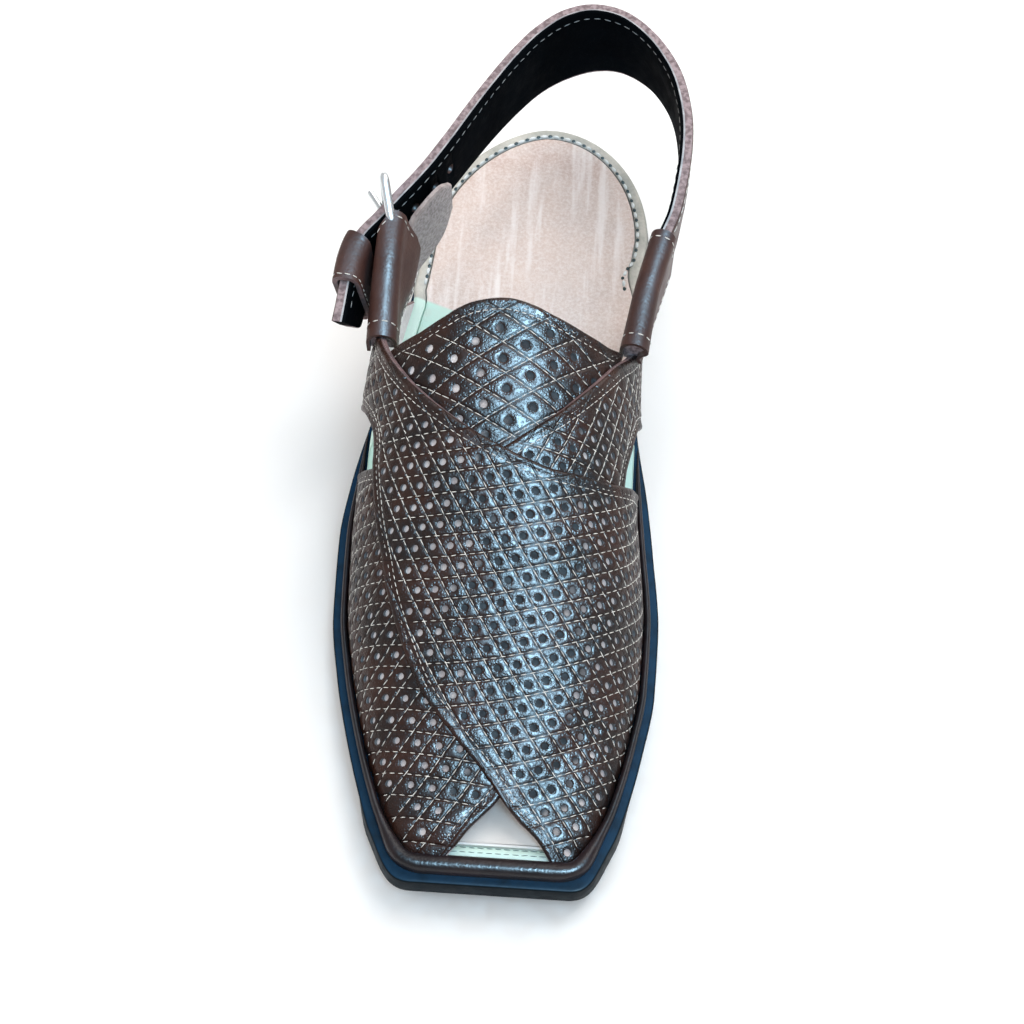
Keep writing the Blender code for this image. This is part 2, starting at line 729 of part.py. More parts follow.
def lift(u: float, y: float) -> float:
    """How far the over band is raised by the under band beneath it, from 0 to 1."""
    v = UNDER.side * u
    inside_front = (read(FRONT_EDGE, UNDER.column, y) - v) * arc(max(y, TOE_WALL), LATERAL if u < 0 else MEDIAL)
    if y > FRONT_EDGE[0].y:
        inside_front = LIFT_RAMP
    inside_top = read(TOP_EDGE, UNDER.column, v, key="v") - y
    return smooth_step(min(inside_front, inside_top) / LIFT_RAMP + 1)


def sheet(
    name: str,
    place: Callable[[float, float], tuple[float, float]],
    inner: Callable[[float, float], float],
    wall: float,
    counts: tuple[int, int],
    finish: str,
):
    """A wall of even thickness over a patch of the last: (s, t) run along and across it."""
    lengths, widths = counts
    inside, outside = [], []
    for i in range(lengths + 1):
        for j in range(widths + 1):
            u, y = place(i / lengths, j / widths)
            rise = inner(u, y)
            inside.append(off_last(u, y, rise))
            outside.append(off_last(u, y, rise + wall))
    base = len(inside)
    row = widths + 1
    faces = []
    for i in range(lengths):
        for j in range(widths):
            a, b, c, d = i * row + j, i * row + j + 1, (i + 1) * row + j + 1, (i + 1) * row + j
            faces += [(a, b, c, d), (base + d, base + c, base + b, base + a)]
    rim = [j for j in range(widths)]
    rim += [i * row + widths for i in range(lengths)]
    rim += [lengths * row + j for j in range(widths, 0, -1)]
    rim += [i * row for i in range(lengths, 0, -1)]
    for a, b in zip(rim, rim[1:] + rim[:1]):
        faces.append((b, a, base + a, base + b))
    return add_object(name, inside + outside, faces, finish)


# ---------------------------------------------------------------- the sub-parts
def make_outsole() -> None:
    """The full-length rubber sole, with grooves across its forefoot tread."""
    levels = (
        Level(lambda y, side: SIDE_DRAFT + EDGE_ROUND, sole_under),
        Level(lambda y, side: SIDE_DRAFT, lambda y: sole_under(y) + EDGE_ROUND),
        Level(lambda y, side: 0.0, lambda y: sole_top(y) - EDGE_ROUND),
        Level(lambda y, side: EDGE_ROUND, sole_top),
    )
    outsole = plate("outsole", levels, "black_rubber")
    half = GROOVE_WIDTH / 2
    for k, y in enumerate(FOREFOOT_GROOVES):
        groove = box(f"forefoot_groove_{k}", (-GROOVE_REACH, y - half, -GROOVE_DEPTH), (GROOVE_REACH, y + half, GROOVE_DEPTH))
        combine(outsole, groove, "DIFFERENCE")


def make_heel() -> None:
    """The heel block under the outsole's flat heel seat."""
    levels = (
        Level(lambda y, side: HEEL_INSET + HEEL_TAPER + EDGE_ROUND, lambda y: 0.0),
        Level(lambda y, side: HEEL_INSET + HEEL_TAPER, lambda y: EDGE_ROUND),
        Level(lambda y, side: HEEL_INSET, lambda y: HEEL_SEAT - GAP),
    )
    heel = plate("heel_block", levels, "black_rubber", toe=HEEL_BREAST)
    half = GROOVE_WIDTH / 2
    for k, y in enumerate(HEEL_GROOVES):
        groove = box(f"heel_groove_{k}", (-GROOVE_REACH, y - half, -GROOVE_DEPTH), (GROOVE_REACH, y + half, GROOVE_DEPTH))
        combine(heel, groove, "DIFFERENCE")


def make_footbed() -> None:
    """The footbed board with its rolled rim, and the leather cover let into it."""

    def rim(step_in: float, height: Callable[[float], float]) -> Level:
        return Level(lambda y, side: board_inset(y, side) + step_in, height, board_squeeze)

    def recess(y: float) -> float:
        return board_top(y) - COVER_RECESS

    levels = (
        rim(0.6, lambda y: sole_top(y) + GAP),
        rim(0.0, lambda y: sole_top(y) + GAP + 0.7),
        rim(0.0, lambda y: board_top(y) - RIM_ROUND),
        rim(0.45, lambda y: board_top(y) - 0.5),
        rim(RIM_ROUND, board_top),
        rim(RIM_WIDTH - 0.6, lambda y: board_top(y) - 0.3),
        rim(RIM_WIDTH, recess),
    )
    plate("footbed", levels, "rim_leather")
    edge = RIM_WIDTH + GAP
    levels = (
        rim(edge, lambda y: recess(y) + GAP),
        rim(edge, lambda y: recess(y) + GAP + COVER - 0.3),
        rim(edge + 0.3, lambda y: recess(y) + GAP + COVER),
    )
    plate("footbed_cover", levels, "insole_leather", toe=COVER_TOE)


def make_rand() -> None:
    """The rolled leather edge that runs along the foot of the upper, from waist round the toe to waist."""
    path = []
    for side, order in ((LATERAL, 1), (MEDIAL, -1)):
        edge = inset_outline(side, lambda y: read(SOLE, "ledge", y))
        foot = inset_outline(side, lambda y: read(SOLE, "ledge", y) + read(SOLE, "rand", y))
        stations = [(a, b) for a, b in zip(edge, foot) if a[1] <= RAND_START]
        path += stations[::order]
    rings = []
    for outer, inner in path:
        width = math.dist(outer, inner)
        ring = []
        for across, up in ((0, 0), (0, 0.5), (0.14, 0.84), (0.42, 1), (0.72, 0.97), (1, 0.8), (1, 0)):
            x = outer[0] + (inner[0] - outer[0]) * across
            y = outer[1] + (inner[1] - outer[1]) * across
            height = min(RAND_HEIGHT, 2.0 * width)
            ring.append((x, y, sole_top(y) + GAP + height * up))
        rings.append(ring)
    loft("rand", rings, "rand_leather")


def make_upper() -> None:
    """The two bands that cross over the foot, joined where they cross."""
    counts = (BAND_LENGTHS, BAND_WIDTHS)
    under = sheet("upper", lambda s, t: band_place(UNDER, s, t), lambda u, y: 0.0, WALL, counts, "brown_leather")
    over = sheet(
        "over_band",
        lambda s, t: band_place(OVER, s, t),
        lambda u, y: (WALL - LAP) * lift(u, y),
        WALL,
        counts,
        "brown_leather",
    )
    over.hide_render = True
    over.display_type = "WIRE"
    combine(under, over, "UNION")


def make_tongue() -> None:
    """The tongue under both bands, with its arched top edge in the throat."""
    first, last = TONGUE_EDGE[0].u, TONGUE_EDGE[-1].u
    rows = TONGUE_EDGE[::-1]

    def place(s: float, t: float) -> tuple[float, float]:
        u = first + (last - first) * s
        top = read(rows, "top", u, key="u")
        return u, top + (read(rows, "bottom", u, key="u") - top) * t

    sheet("tongue", place, lambda u, y: -WRAP_GAP - TONGUE_WALL, TONGUE_WALL, TONGUE_COUNTS, "brown_leather")


class StrapStation(NamedTuple):
    """A place on the back strap: its middle, the directions along it and away from the foot, and its heights."""

    middle: Vector
    along: Vector
    out: Vector
    top: float
    width: float
    lean: float

    def at(self, across: float, share: float) -> Vector:
        """A point of the strap: how far out of its middle, and its share of the way down from the top."""
        place = self.middle + self.out * (across - self.lean * share)
        return Vector((place.x, place.y, self.top - self.width * share))


def strap_stations() -> list[StrapStation]:
    """The back strap read off its table on a smooth curve."""
    middles = spline([Vector((row.x, row.y, row.top)) for row in BACK_STRAP], STRAP_POINTS)
    sizes = spline([Vector((row.width, row.lean, 0)) for row in BACK_STRAP], STRAP_POINTS)
    stations = []
    for k, (middle, size) in enumerate(zip(middles, sizes)):
        along = middles[min(k + 1, STRAP_POINTS - 1)] - middles[max(k - 1, 0)]
        along = Vector((along.x, along.y, 0)).normalized()
        out = Vector((along.y, -along.x, 0))
        stations.append(StrapStation(Vector((middle.x, middle.y, 0)), along, out, middle.z, size.x, size.y))
    return stations


def make_back_strap() -> None:
    """The strap round the heel, from inside the medial sleeve through the buckle to its free tip."""
    half, bevel = STRAP / 2, STRAP / 2 - 0.4
    profile = ((-half, 0.03), (-bevel, 0), (bevel, 0), (half, 0.03), (half, 0.97), (bevel, 1), (-bevel, 1), (-half, 0.97))
    stations = strap_stations()
    tip = stations[-1].middle
    rings = []
    for station in stations:
        slant = TIP_SLANT * max(0.0, 1 - (station.middle - tip).length / TIP_LENGTH)
        rings.append([station.at(across, share) - station.along * (slant * share) for across, share in profile])
    strap = loft("back_strap", rings, "brown_leather")
    start, end = prong_path()[-2:]
    used = min(
        range(len(stations)),
        key=lambda k: abs((stations[k].middle - start).xy.cross((end - start).xy)) if stations[k].middle.x < BUCKLE_SIDE_X else math.inf,
    )
    used_at = stations[used]
    share = (used_at.middle - start).xy.dot((end - start).xy) / (end - start).xy.length_squared
    holes = [("strap_hole_used", start + (end - start) * share, end - start, PRONG_HOLE_RADIUS)]
    travelled = 0.0
    for k in range(used, 0, -1):
        travelled += (stations[k].middle - stations[k - 1].middle).length
        if len(holes) <= SPARE_HOLES and travelled >= len(holes) * HOLE_PITCH:
            station = stations[k - 1]
            holes.append((f"strap_hole_{len(holes)}", station.at(0, 0.5), station.out, HOLE_RADIUS))
    for name, centre, direction, radius in holes:
        combine(strap, hole_cutter(name, centre, direction.normalized(), radius), "DIFFERENCE")


def hole_cutter(name: str, centre: Vector, direction: Vector, radius: float):
    """A round cutter through the strap."""
    up = Vector((0, 0, 1))
    across = up.cross(direction).normalized()
    rings = []
    for end in (-2 * STRAP, 2 * STRAP):
        angles = [math.tau * k / HOLE_SIDES for k in range(HOLE_SIDES)]
        rings.append([centre + direction * end + (across * math.cos(a) + up * math.sin(a)) * radius for a in angles])
    made = loft(name, rings, "steel")
    made.hide_render = True
    made.display_type = "WIRE"
    return made


def make_sleeve(name: str, rows: Sequence[SleeveRow]):
    """A leather sleeve folded over the strap's end, open below and at both ends."""
    middles = spline([Vector((row.x, row.y, row.ridge)) for row in rows], SLEEVE_POINTS)
    sizes = spline([Vector((row.width, row.depth, 0)) for row in rows], SLEEVE_POINTS)
    leaves = spline([Vector((row.belly, row.short, row.cut)) for row in rows], SLEEVE_POINTS)
    arch = [math.pi * n / ARCH_STEPS for n in range(ARCH_STEPS + 1)]
    rings = []
    for k, (middle, size, leaf) in enumerate(zip(middles, sizes, leaves)):
        along = middles[min(k + 1, SLEEVE_POINTS - 1)] - middles[max(k - 1, 0)]
        along = Vector((along.x, along.y, 0)).normalized()
        out = Vector((along.y, -along.x, 0))
        half, depth = size.x / 2, size.y
        ring = []
        for reach, turned in ((half, False), (half - SLEEVE_WALL, True)):
            fold = [(reach * math.cos(angle), half - reach * math.sin(angle), 0.0) for angle in arch]
            swollen = [
                (reach + LEAF_END * leaf.x, depth, leaf.z),
                (reach + leaf.x, half + (depth - half) * LEAF_MIDDLE, leaf.z * LEAF_MIDDLE**2),
            ]
            straight = [(-reach, depth, 0.0)]
            line = swollen + fold + straight
            for across, down, cut in line[::-1] if turned else line:
                stop = cut + leaf.y * max(across * LATERAL / half, 0.0)
                ring.append(middle + out * across - along * stop - Vector((0, 0, down)))
        rings.append(ring)
    return loft(name, rings, "brown_leather")


def make_sleeves() -> None:
    """Both folded sleeves, the lateral one slotted for the buckle's prong and notched for its frame."""
    make_sleeve("sleeve_medial", MEDIAL_SLEEVE)
    lateral = make_sleeve("sleeve_lateral", LATERAL_SLEEVE)
    x, y = BUCKLE_BASE
    reach = PRONG_RADIUS * 2 + WIRE_RADIUS + 3 * GAP
    slot = box("prong_slot", (x - SLOT_REACH, y - reach, PRONG_HEIGHT - reach), (x, y + SLOT_REACH, PRONG_HEIGHT + reach))
    combine(lateral, slot, "DIFFERENCE")
    clear = WIRE_RADIUS + 2 * GAP
    notch = box("frame_notch", (x - clear - GAP, y - clear, BASE_HIGH - NOTCH_DEPTH), (x + clear, y + SLOT_REACH, BASE_HIGH + SLOT_REACH))
    combine(lateral, notch, "DIFFERENCE")


def tube(name: str, points: Sequence[Sequence[float]], radius: float, finish: str, cyclic: bool, sides: int = 3):
    """A round bar along a path in millimetres, with filled ends unless it is a closed loop."""
    curve = bpy.data.curves.new(name, "CURVE")
    curve.dimensions = "3D"
    curve.bevel_depth = radius * MM
    curve.bevel_resolution = sides
    curve.use_fill_caps = not cyclic
    line = curve.splines.new("POLY")
    line.points.add(len(points) - 1)
    for place, point in zip(line.points, points):
        place.co = (*(Vector(point) * MM), 1.0)
    line.use_cyclic_u = cyclic
    made = bpy.data.objects.new(name, curve)
    curve.materials.append(material(finish))
    bpy.context.scene.collection.objects.link(made)
    return made


def rounded_loop(corners: Sequence[Vector], radius: float, steps: int) -> list[Vector]:
    """A closed path through the corners, each one rounded."""
    path = []
    for i, corner in enumerate(corners):
        back = (corners[i - 1] - corner).normalized() * radius
        ahead = (corners[(i + 1) % len(corners)] - corner).normalized() * radius
        for k in range(steps + 1):
            t = k / steps
            path.append(corner + back * (1 - t) ** 2 + ahead * t**2)
    return path


def prong_path() -> list[Vector]:
    """The prong's wire: wrapped round the base bar, then straight to the tip beyond the end bar."""
    pivot = Vector((*BUCKLE_BASE, PRONG_HEIGHT))
    tip = Vector((*PRONG_TIP, PRONG_HEIGHT + PRONG_RISE))
    forward = Vector((tip.x - pivot.x, tip.y - pivot.y, 0)).normalized()
    outward = Vector((-forward.y, forward.x, 0))
    hook = WIRE_RADIUS + GAP + PRONG_RADIUS
    path = []
    for k in range(WRAP_STEPS + 1):
        angle = math.radians(PRONG_WRAP[0] + (PRONG_WRAP[1] - PRONG_WRAP[0]) * k / WRAP_STEPS)
        path.append(pivot - outward * (hook * math.sin(angle)) + forward * (hook * math.cos(angle)))
    return [*path, tip]


def make_buckle() -> None:
    """The wire frame and its prong, fastened through the strap."""
    base, end = Vector((*BUCKLE_BASE, 0)), Vector((*BUCKLE_END, 0))
    up = Vector((0, 0, 1))
    corners = (base + up * BASE_LOW, base + up * BASE_HIGH, end + up * END_HIGH, end + up * END_LOW)
    tube("buckle_frame", rounded_loop(corners, BUCKLE_CORNER, 4), WIRE_RADIUS, "steel", cyclic=True)
    tube("buckle_prong", prong_path(), PRONG_RADIUS, "steel", cyclic=False)


def make_keeper() -> None:
    """The leather loop that holds the strap's free end against the sleeve."""
    stations = strap_stations()
    tip = stations[-1].middle
    held = [s for s in stations[::-1] if KEEPER_START <= (s.middle - tip).length <= KEEPER_END]
    outer, inner = [], []
    for station in held:
        for rings, wall in ((outer, KEEPER_WALL), (inner, 0.0)):
            half = STRAP / 2 + KEEPER_SLACK + wall
            down = (KEEPER_SLACK + wall) / station.width
            corner = KEEPER_CORNER / station.width
            side = [(half - KEEPER_CORNER, 1 + down), (half, 1 + down - corner), (half, corner - down), (half - KEEPER_CORNER, -down)]
            profile = side + [(-across, share) for across, share in side[::-1]]
            rings.append([station.at(across, share) for across, share in profile])
    loft("keeper_loop", outer + inner[::-1], "brown_leather", closed=True)


def make_guard_flap() -> None:
    """The suede flap that keeps the buckle off the foot."""
    middles = spline([Vector((row.x, row.y, 0)) for row in GUARD_FLAP], FLAP_POINTS)
    heights = spline([Vector((row.top, row.bottom, 0)) for row in GUARD_FLAP], FLAP_POINTS)
    rings = []
    for k, (middle, height) in enumerate(zip(middles, heights)):
        along = middles[min(k + 1, FLAP_POINTS - 1)] - middles[max(k - 1, 0)]
        out = Vector((along.y, -along.x, 0)).normalized() * (FLAP / 2)
        top, bottom = Vector((0, 0, height.x)), Vector((0, 0, height.y))
        rings.append([middle - out + bottom, middle + out + bottom, middle + out + top, middle - out + top])
    loft("guard_flap", rings, "suede")


def main() -> None:
    for leftover in list(bpy.context.scene.objects):
        bpy.data.objects.remove(leftover)
    make_outsole()
    make_heel()
    make_footbed()
    make_rand()
    make_upper()
    make_tongue()
    make_sleeves()
    make_back_strap()
    make_buckle()
    make_keeper()
    make_guard_flap()


main()
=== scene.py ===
"""Dresses a right-foot peshawari chappal: quilted leather, stitches, linings, sole, buckle and studio.

Sizes are in millimetres and MM turns them into metres. +Z is up, the toe points along -Y and the
inner (medial) side of the foot is +X. A place on the last is (u, y): y is the station along the foot
and u runs from the crown line (0) to the foot of the wall, -1 on the outer and +1 on the inner side.
A flat place is (across, along): across is u times the half girth there and along is the length of the
crown line from FLAT_START towards the toe, so leather is cut and quilted in the flat and then laid on.
"""

from __future__ import annotations

import logging
import math
from dataclasses import dataclass, field, replace
from enum import Enum
from functools import lru_cache
from typing import Callable, Iterable, NamedTuple, Sequence

import bmesh
import bpy
import numpy as np
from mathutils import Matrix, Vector
from mathutils.geometry import delaunay_2d_cdt


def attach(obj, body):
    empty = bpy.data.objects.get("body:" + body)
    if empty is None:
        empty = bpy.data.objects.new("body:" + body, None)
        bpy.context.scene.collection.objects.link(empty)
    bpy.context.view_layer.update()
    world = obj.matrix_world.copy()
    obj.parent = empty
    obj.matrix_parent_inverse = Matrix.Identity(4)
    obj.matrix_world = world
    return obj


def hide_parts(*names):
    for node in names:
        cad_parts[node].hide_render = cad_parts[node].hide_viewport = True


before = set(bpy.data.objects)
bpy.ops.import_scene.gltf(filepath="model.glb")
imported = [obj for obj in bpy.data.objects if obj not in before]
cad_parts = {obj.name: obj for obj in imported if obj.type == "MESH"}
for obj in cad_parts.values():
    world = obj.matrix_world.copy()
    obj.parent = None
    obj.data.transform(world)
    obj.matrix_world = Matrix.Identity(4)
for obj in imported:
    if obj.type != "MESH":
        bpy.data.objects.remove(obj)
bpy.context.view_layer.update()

LOG = logging.getLogger("chappal")
MM = 0.001
GAP = 0.3
WRAP_GAP = 0.45
FLAT_START = -40.0
SEED = 7
UP = np.array((0.0, 0.0, 1.0))
Colour = tuple[float, float, float]
Place = tuple[float, float, float]
Points = np.ndarray
ByStation = Callable[[Points], Points]
Socket = bpy.types.NodeSocket


class Side(Enum):
    """The outer and inner side of the foot, valued by the sign of x."""

    LATERAL = -1
    MEDIAL = 1


# ---- tables of sizes
@dataclass(frozen=True)
class Table:
    """Rows of sizes, read on smooth curves that never overshoot; the first column is the place."""

    names: tuple[str, ...]
    rows: tuple[tuple[float, ...], ...]

    @lru_cache(None)
    def curve(self, column: str) -> tuple[Points, Points, Points]:
        """A column's keys, values and tangents, by rising key."""
        data = np.array(sorted(self.rows), float)
        keys, values = data[:, 0], data[:, self.names.index(column)]
        slopes = np.diff(values) / np.diff(keys)
        before, after = slopes[:-1], slopes[1:]
        same = before * after > 0
        inner = np.where(same, 2 * before * after / np.where(same, before + after, 1.0), 0.0)
        return keys, values, np.concatenate([slopes[:1], inner, slopes[-1:]])

    def at(self, column: str, place: Points | float) -> Points:
        """The column at one or many places, held at the ends.

        Args:
            column: The column's name.
            place: Where to read it, in the first column's unit.

        Returns:
            The values at those places.
        """
        keys, values, tangents = self.curve(column)
        place = np.clip(place, keys[0], keys[-1])
        i = np.clip(np.searchsorted(keys, place, side="right") - 1, 0, len(keys) - 2)
        step = keys[i + 1] - keys[i]
        t = (place - keys[i]) / step
        start = values[i] * (2 * t**3 - 3 * t**2 + 1) + tangents[i] * step * (t**3 - 2 * t**2 + t)
        end = values[i + 1] * (3 * t**2 - 2 * t**3) + tangents[i + 1] * step * (t**3 - t**2)
        return start + end


def table(names: str, *rows: tuple[float, ...]) -> Table:
    """A table from its column names, in one string, and its rows."""
    return Table(tuple(names.split()), rows)


SOLE = table(
    "y lateral medial top under ledge rand",
    (-8, 41.6, 37.7, 23.4, 15.5, 0, 0),
    (-26, 43.0, 35.8, 23.0, 15.5, 0, 0),
    (-50, 47.0, 34.6, 21.3, 12.8, 0, 0),
    (-78, 52.8, 36.6, 17.8, 8.0, 0, 0),
    (-104, 58.2, 41.4, 14.0, 2.4, 2.2, 1.8),
    (-122, 60.2, 44.0, 11.8, 0, 2.7, 2.2),
    (-150, 59.3, 46.8, 10.3, 0, 2.7, 2.2),
    (-172, 55.6, 46.3, 10.0, 0, 2.7, 2.2),
    (-190, 51.0, 43.5, 10.2, 0, 2.7, 2.2),
    (-212, 44.0, 38.5, 11.2, 2.4, 2.9, 2.4),
    (-224, 39.2, 34.2, 12.0, 4.0, 3.3, 2.7),
    (-238, 26.0, 22.0, 13.0, 5.6, 4.4, 2.8),
)
LAST = table(
    "y crown_x crown_z swell_lateral swell_medial square",
    (-20, -10, 98, 5.0, 4.5, 2.6),
    (-50, -10, 94, 5.0, 4.5, 2.6),
    (-76, -9.5, 84.5, 3.5, 2.5, 2.5),
    (-96, -8, 76, 1.5, 1.0, 2.4),
    (-118, -6, 65.5, 0.5, 0.5, 2.3),
    (-140, -5, 54, 0, 0, 2.25),
    (-160, -4.5, 43.5, 0, 0, 2.2),
    (-180, -4, 34, 0, 0, 2.2),
    (-200, -3, 25.5, 0, 0, 2.25),
    (-214, -2, 20.8, 0, 0, 2.3),
    (-224, -2, 18.8, 0, 0, 2.4),
    (-229, -2, 17.2, 0, 0, 2.4),
)
FRONT_EDGE = table(
    "y over under",
    (-80, 1.0, 1.0),
    (-86, 0.84, 0.85),
    (-92, 0.70, 0.72),
    (-103, 0.58, 0.645),
    (-114, 0.545, 0.59),
    (-128, 0.544, 0.56),
    (-149, 0.522, 0.53),
    (-161, 0.505, 0.51),
    (-173, 0.472, 0.475),
    (-181.5, 0.43, 0.43),
    (-196, 0.247, 0.28),
    (-206.5, 0.053, 0.13),
    (-213.5, -0.074, 0.028),
    (-219.8, -0.27, -0.145),
    (-224.5, -0.53, -0.33),
    (-228.8, -0.77, -0.575),
)
TOP_EDGE = table(
    "v over under",
    (1.0, -34.5, -33),
    (0.85, -47, -46),
    (0.70, -58, -61),
    (0.61, -67, -71.8),
    (0.46, -82.9, -83.1),
    (0.32, -97, -95.4),
    (0.20, -106, -104.8),
    (0.10, -111.6, -110.6),
    (0.0, -115.6, -115.8),
    (-0.1, -118.5, -119),
    (-0.21, -120.2, -120.4),
    (-0.39, -119.5, -119),
    (-0.55, -116.5, -115.5),
    (-0.70, -112, -111.5),
    (-1.0, -103, -102),
)
TONGUE_EDGE = table(
    "u top bottom",
    (-0.62, -80.0, -90),
    (-0.41, -80.9, -124),
    (-0.34, -80.9, -129),
    (-0.21, -78.4, -135),
    (-0.156, -76.5, -137),
    (-0.085, -74.7, -138.5),
    (0.02, -73.6, -139),
    (0.12, -75.0, -138),
    (0.185, -76.5, -136.5),
    (0.33, -78.0, -130),
    (0.43, -77.6, -122),
    (0.54, -74.9, -112),
)
BACK_STRAP = (
    (35.4, -58.0, 66.4, 16.0, 0),
    (37.2, -48.0, 70.0, 18.5, 0),
    (40.2, -38.0, 73.4, 20.5, 0.2),
    (43.3, -29.0, 75.4, 22.5, 0.3),
    (45.2, -17.2, 77.6, 25.0, 0.2),
    (46.1, -6.0, 79.6, 27.0, -0.4),
    (45.6, 6.2, 80.6, 28.0, -1.8),
    (42.8, 19.4, 81.2, 28.5, -3.2),
    (38.4, 29.6, 81.5, 28.8, -4.0),
    (32.0, 39.0, 81.5, 29.0, -3.7),
    (23.4, 46.2, 81.5, 29.0, -1.6),
    (13.0, 48.6, 81.5, 28.8, 1.6),
    (3.2, 45.0, 81.4, 28.4, 2.5),
    (-5.6, 37.0, 81.2, 27.6, 2.0),
    (-12.7, 26.6, 80.9, 26.6, 1.3),
    (-19.6, 14.6, 80.6, 25.4, 0.9),
    (-25.9, 2.5, 80.3, 24.0, 0.8),
    (-32.0, -9.6, 79.8, 22.6, 0.8),
    (-37.3, -19.2, 79.0, 21.2, 0.8),
    (-43.6, -27.6, 77.2, 20.0, 0.8),
    (-51.0, -36.2, 74.2, 19.5, 0.9),
    (-57.0, -43.2, 71.8, 19.5, 1.2),
    (-59.6, -51.0, 70.2, 19.5, 1.8),
    (-60.6, -61.0, 68.3, 18.0, 2.8),
    (-61.1, -67.5, 67.1, 14.0, 2.8),
    (-61.6, -73.5, 66.0, 6.5, 1.6),
)
MEDIAL_SLEEVE = (
    (32.8, -74.0, 64.2, 9.4, 11.0, -2.6, 0, 0),
    (34.0, -66.0, 66.2, 8.8, 13.0, -1.2, 0, 0),
    (36.0, -54.0, 70.2, 8.3, 18.5, 0, 0, 0),
    (40.2, -37.5, 75.8, 8.2, 23.5, 0, 0, 0),
)
LATERAL_SLEEVE = (
    (-48.2, -74.5, 61.3, 10.0, 10.0, 0, 0, 0),
    (-48.2, -62.0, 67.0, 9.4, 14.0, 0.8, 0, 0),
    (-47.8, -50.0, 72.4, 9.0, 22.0, 3.4, 1.0, 0),
    (-47.0, -36.5, 76.4, 8.6, 25.0, 4.4, 6.0, 9.0),
)
GUARD_FLAP = (
    (-42.9, -47.0, 60.0, 48.0),
    (-42.8, -41.0, 63.0, 42.0),
    (-41.8, -35.0, 68.6, 41.0),
    (-38.0, -29.4, 71.2, 43.0),
    (-33.6, -23.4, 72.2, 47.5),
    (-30.8, -18.6, 68.5, 56.0),
)


# ---- small geometry
def smooth_step(t: Points | float) -> Points:
    """0 to 1 with flat ends."""
    t = np.clip(t, 0.0, 1.0)
    return t * t * (3 - 2 * t)


def unit(vectors: Points) -> Points:
    """Vectors of length 1."""
    return vectors / np.maximum(np.linalg.norm(vectors, axis=-1, keepdims=True), 1e-9)


def spline(rows: Sequence[Sequence[float]], count: int) -> Points:
    """Evenly numbered places on a Catmull-Rom curve through all the rows.

    Args:
        rows: Points of any dimension.
        count: How many places.

    Returns:
        One row of numbers for each place.
    """
    rows = np.array(rows, float)
    ends = np.vstack([2 * rows[0] - rows[1], rows, 2 * rows[-1] - rows[-2]])
    spans = len(rows) - 1
    at = np.arange(count) * spans / (count - 1)
    i = np.minimum(at.astype(int), spans - 1)
    t = (at - i)[:, None]
    a, b, c, d = (ends[i + k] for k in range(4))
    return 0.5 * (2 * b + (c - a) * t + (2 * a - 5 * b + 4 * c - d) * t**2 + (3 * b - a - 3 * c + d) * t**3)


def lengths_along(line: Points) -> Points:
    """The length of a polyline up to each of its points."""
    return np.concatenate([[0.0], np.cumsum(np.linalg.norm(np.diff(line, axis=0), axis=1))])


def places_on(line: Points, travelled: Points) -> Points:
    """A polyline's places at lengths travelled along it."""
    length = lengths_along(line)
    return np.stack([np.interp(travelled, length, line[:, k]) for k in range(line.shape[1])], axis=1)


def resample(line: Points, pitch: float) -> Points:
    """A polyline's places at an even pitch, both ends kept."""
    whole = lengths_along(line)[-1]
    return places_on(line, np.linspace(0, whole, max(2, round(whole / pitch) + 1)))


def distance_to(points: Points, line: Points) -> Points:
    """How far points lie from a polyline.

    Args:
        points: Flat places.
        line: The polyline's places.

    Returns:
        One distance for each point.
    """
    starts, steps = line[:-1], np.diff(line, axis=0)
    squares = np.maximum((steps**2).sum(1), 1e-12)
    nearest = []
    for some in np.array_split(points, max(1, len(points) // 2000)):
        away = some[:, None] - starts
        t = np.clip((away * steps).sum(2) / squares, 0, 1)
        nearest.append(np.linalg.norm(away - t[..., None] * steps, axis=2).min(1))
    return np.concatenate(nearest)


def inside(points: Points, loop: Points) -> Points:
    """Which points lie inside a closed loop."""
    found = np.zeros(len(points), bool)
    for a, b in zip(loop, np.roll(loop, -1, axis=0)):
        crosses = (a[1] > points[:, 1]) != (b[1] > points[:, 1])
        rise = b[1] - a[1] if b[1] != a[1] else 1e-12
        found ^= crosses & (points[:, 0] < (b[0] - a[0]) * (points[:, 1] - a[1]) / rise + a[0])
    return found


# ---- meshes
class MeshParts(NamedTuple):
    """A mesh on its way: points in millimetres, faces, and each face's material number."""

    points: Points
    faces: list[tuple[int, ...]]
    slots: list[int]


def loft(rings: Points, closed: bool = False, ladder: bool = False, paint: Sequence[int] = ()) -> MeshParts:
    """A solid through rings of equal length.

    Args:
        rings: Ring, place on it, and x, y, z.
        closed: Whether the last ring joins the first.
        ladder: Whether each end is closed by strips across it, for a ring that mirrors itself.
        paint: The material number of the faces that start at each place on a ring.

    Returns:
        The solid's mesh.
    """
    count, size = rings.shape[:2]
    faces, slots = [], []
    paint = list(paint) or [0] * size
    for r in range(count if closed else count - 1):
        a, b = r * size, ((r + 1) % count) * size
        faces += [(a + k, a + (k + 1) % size, b + (k + 1) % size, b + k) for k in range(size)]
        slots += paint
    if not closed:
        for base in (0, (count - 1) * size):
            if ladder:
                last = base + size - 1
                strips = [(base + k, base + k + 1, last - 1 - k, last - k) for k in range(size // 2 - 1)]
            else:
                strips = [tuple(range(base, base + size))]
            faces += strips
            slots += [paint[0]] * len(strips)
    return MeshParts(rings.reshape(-1, 3), faces, slots)


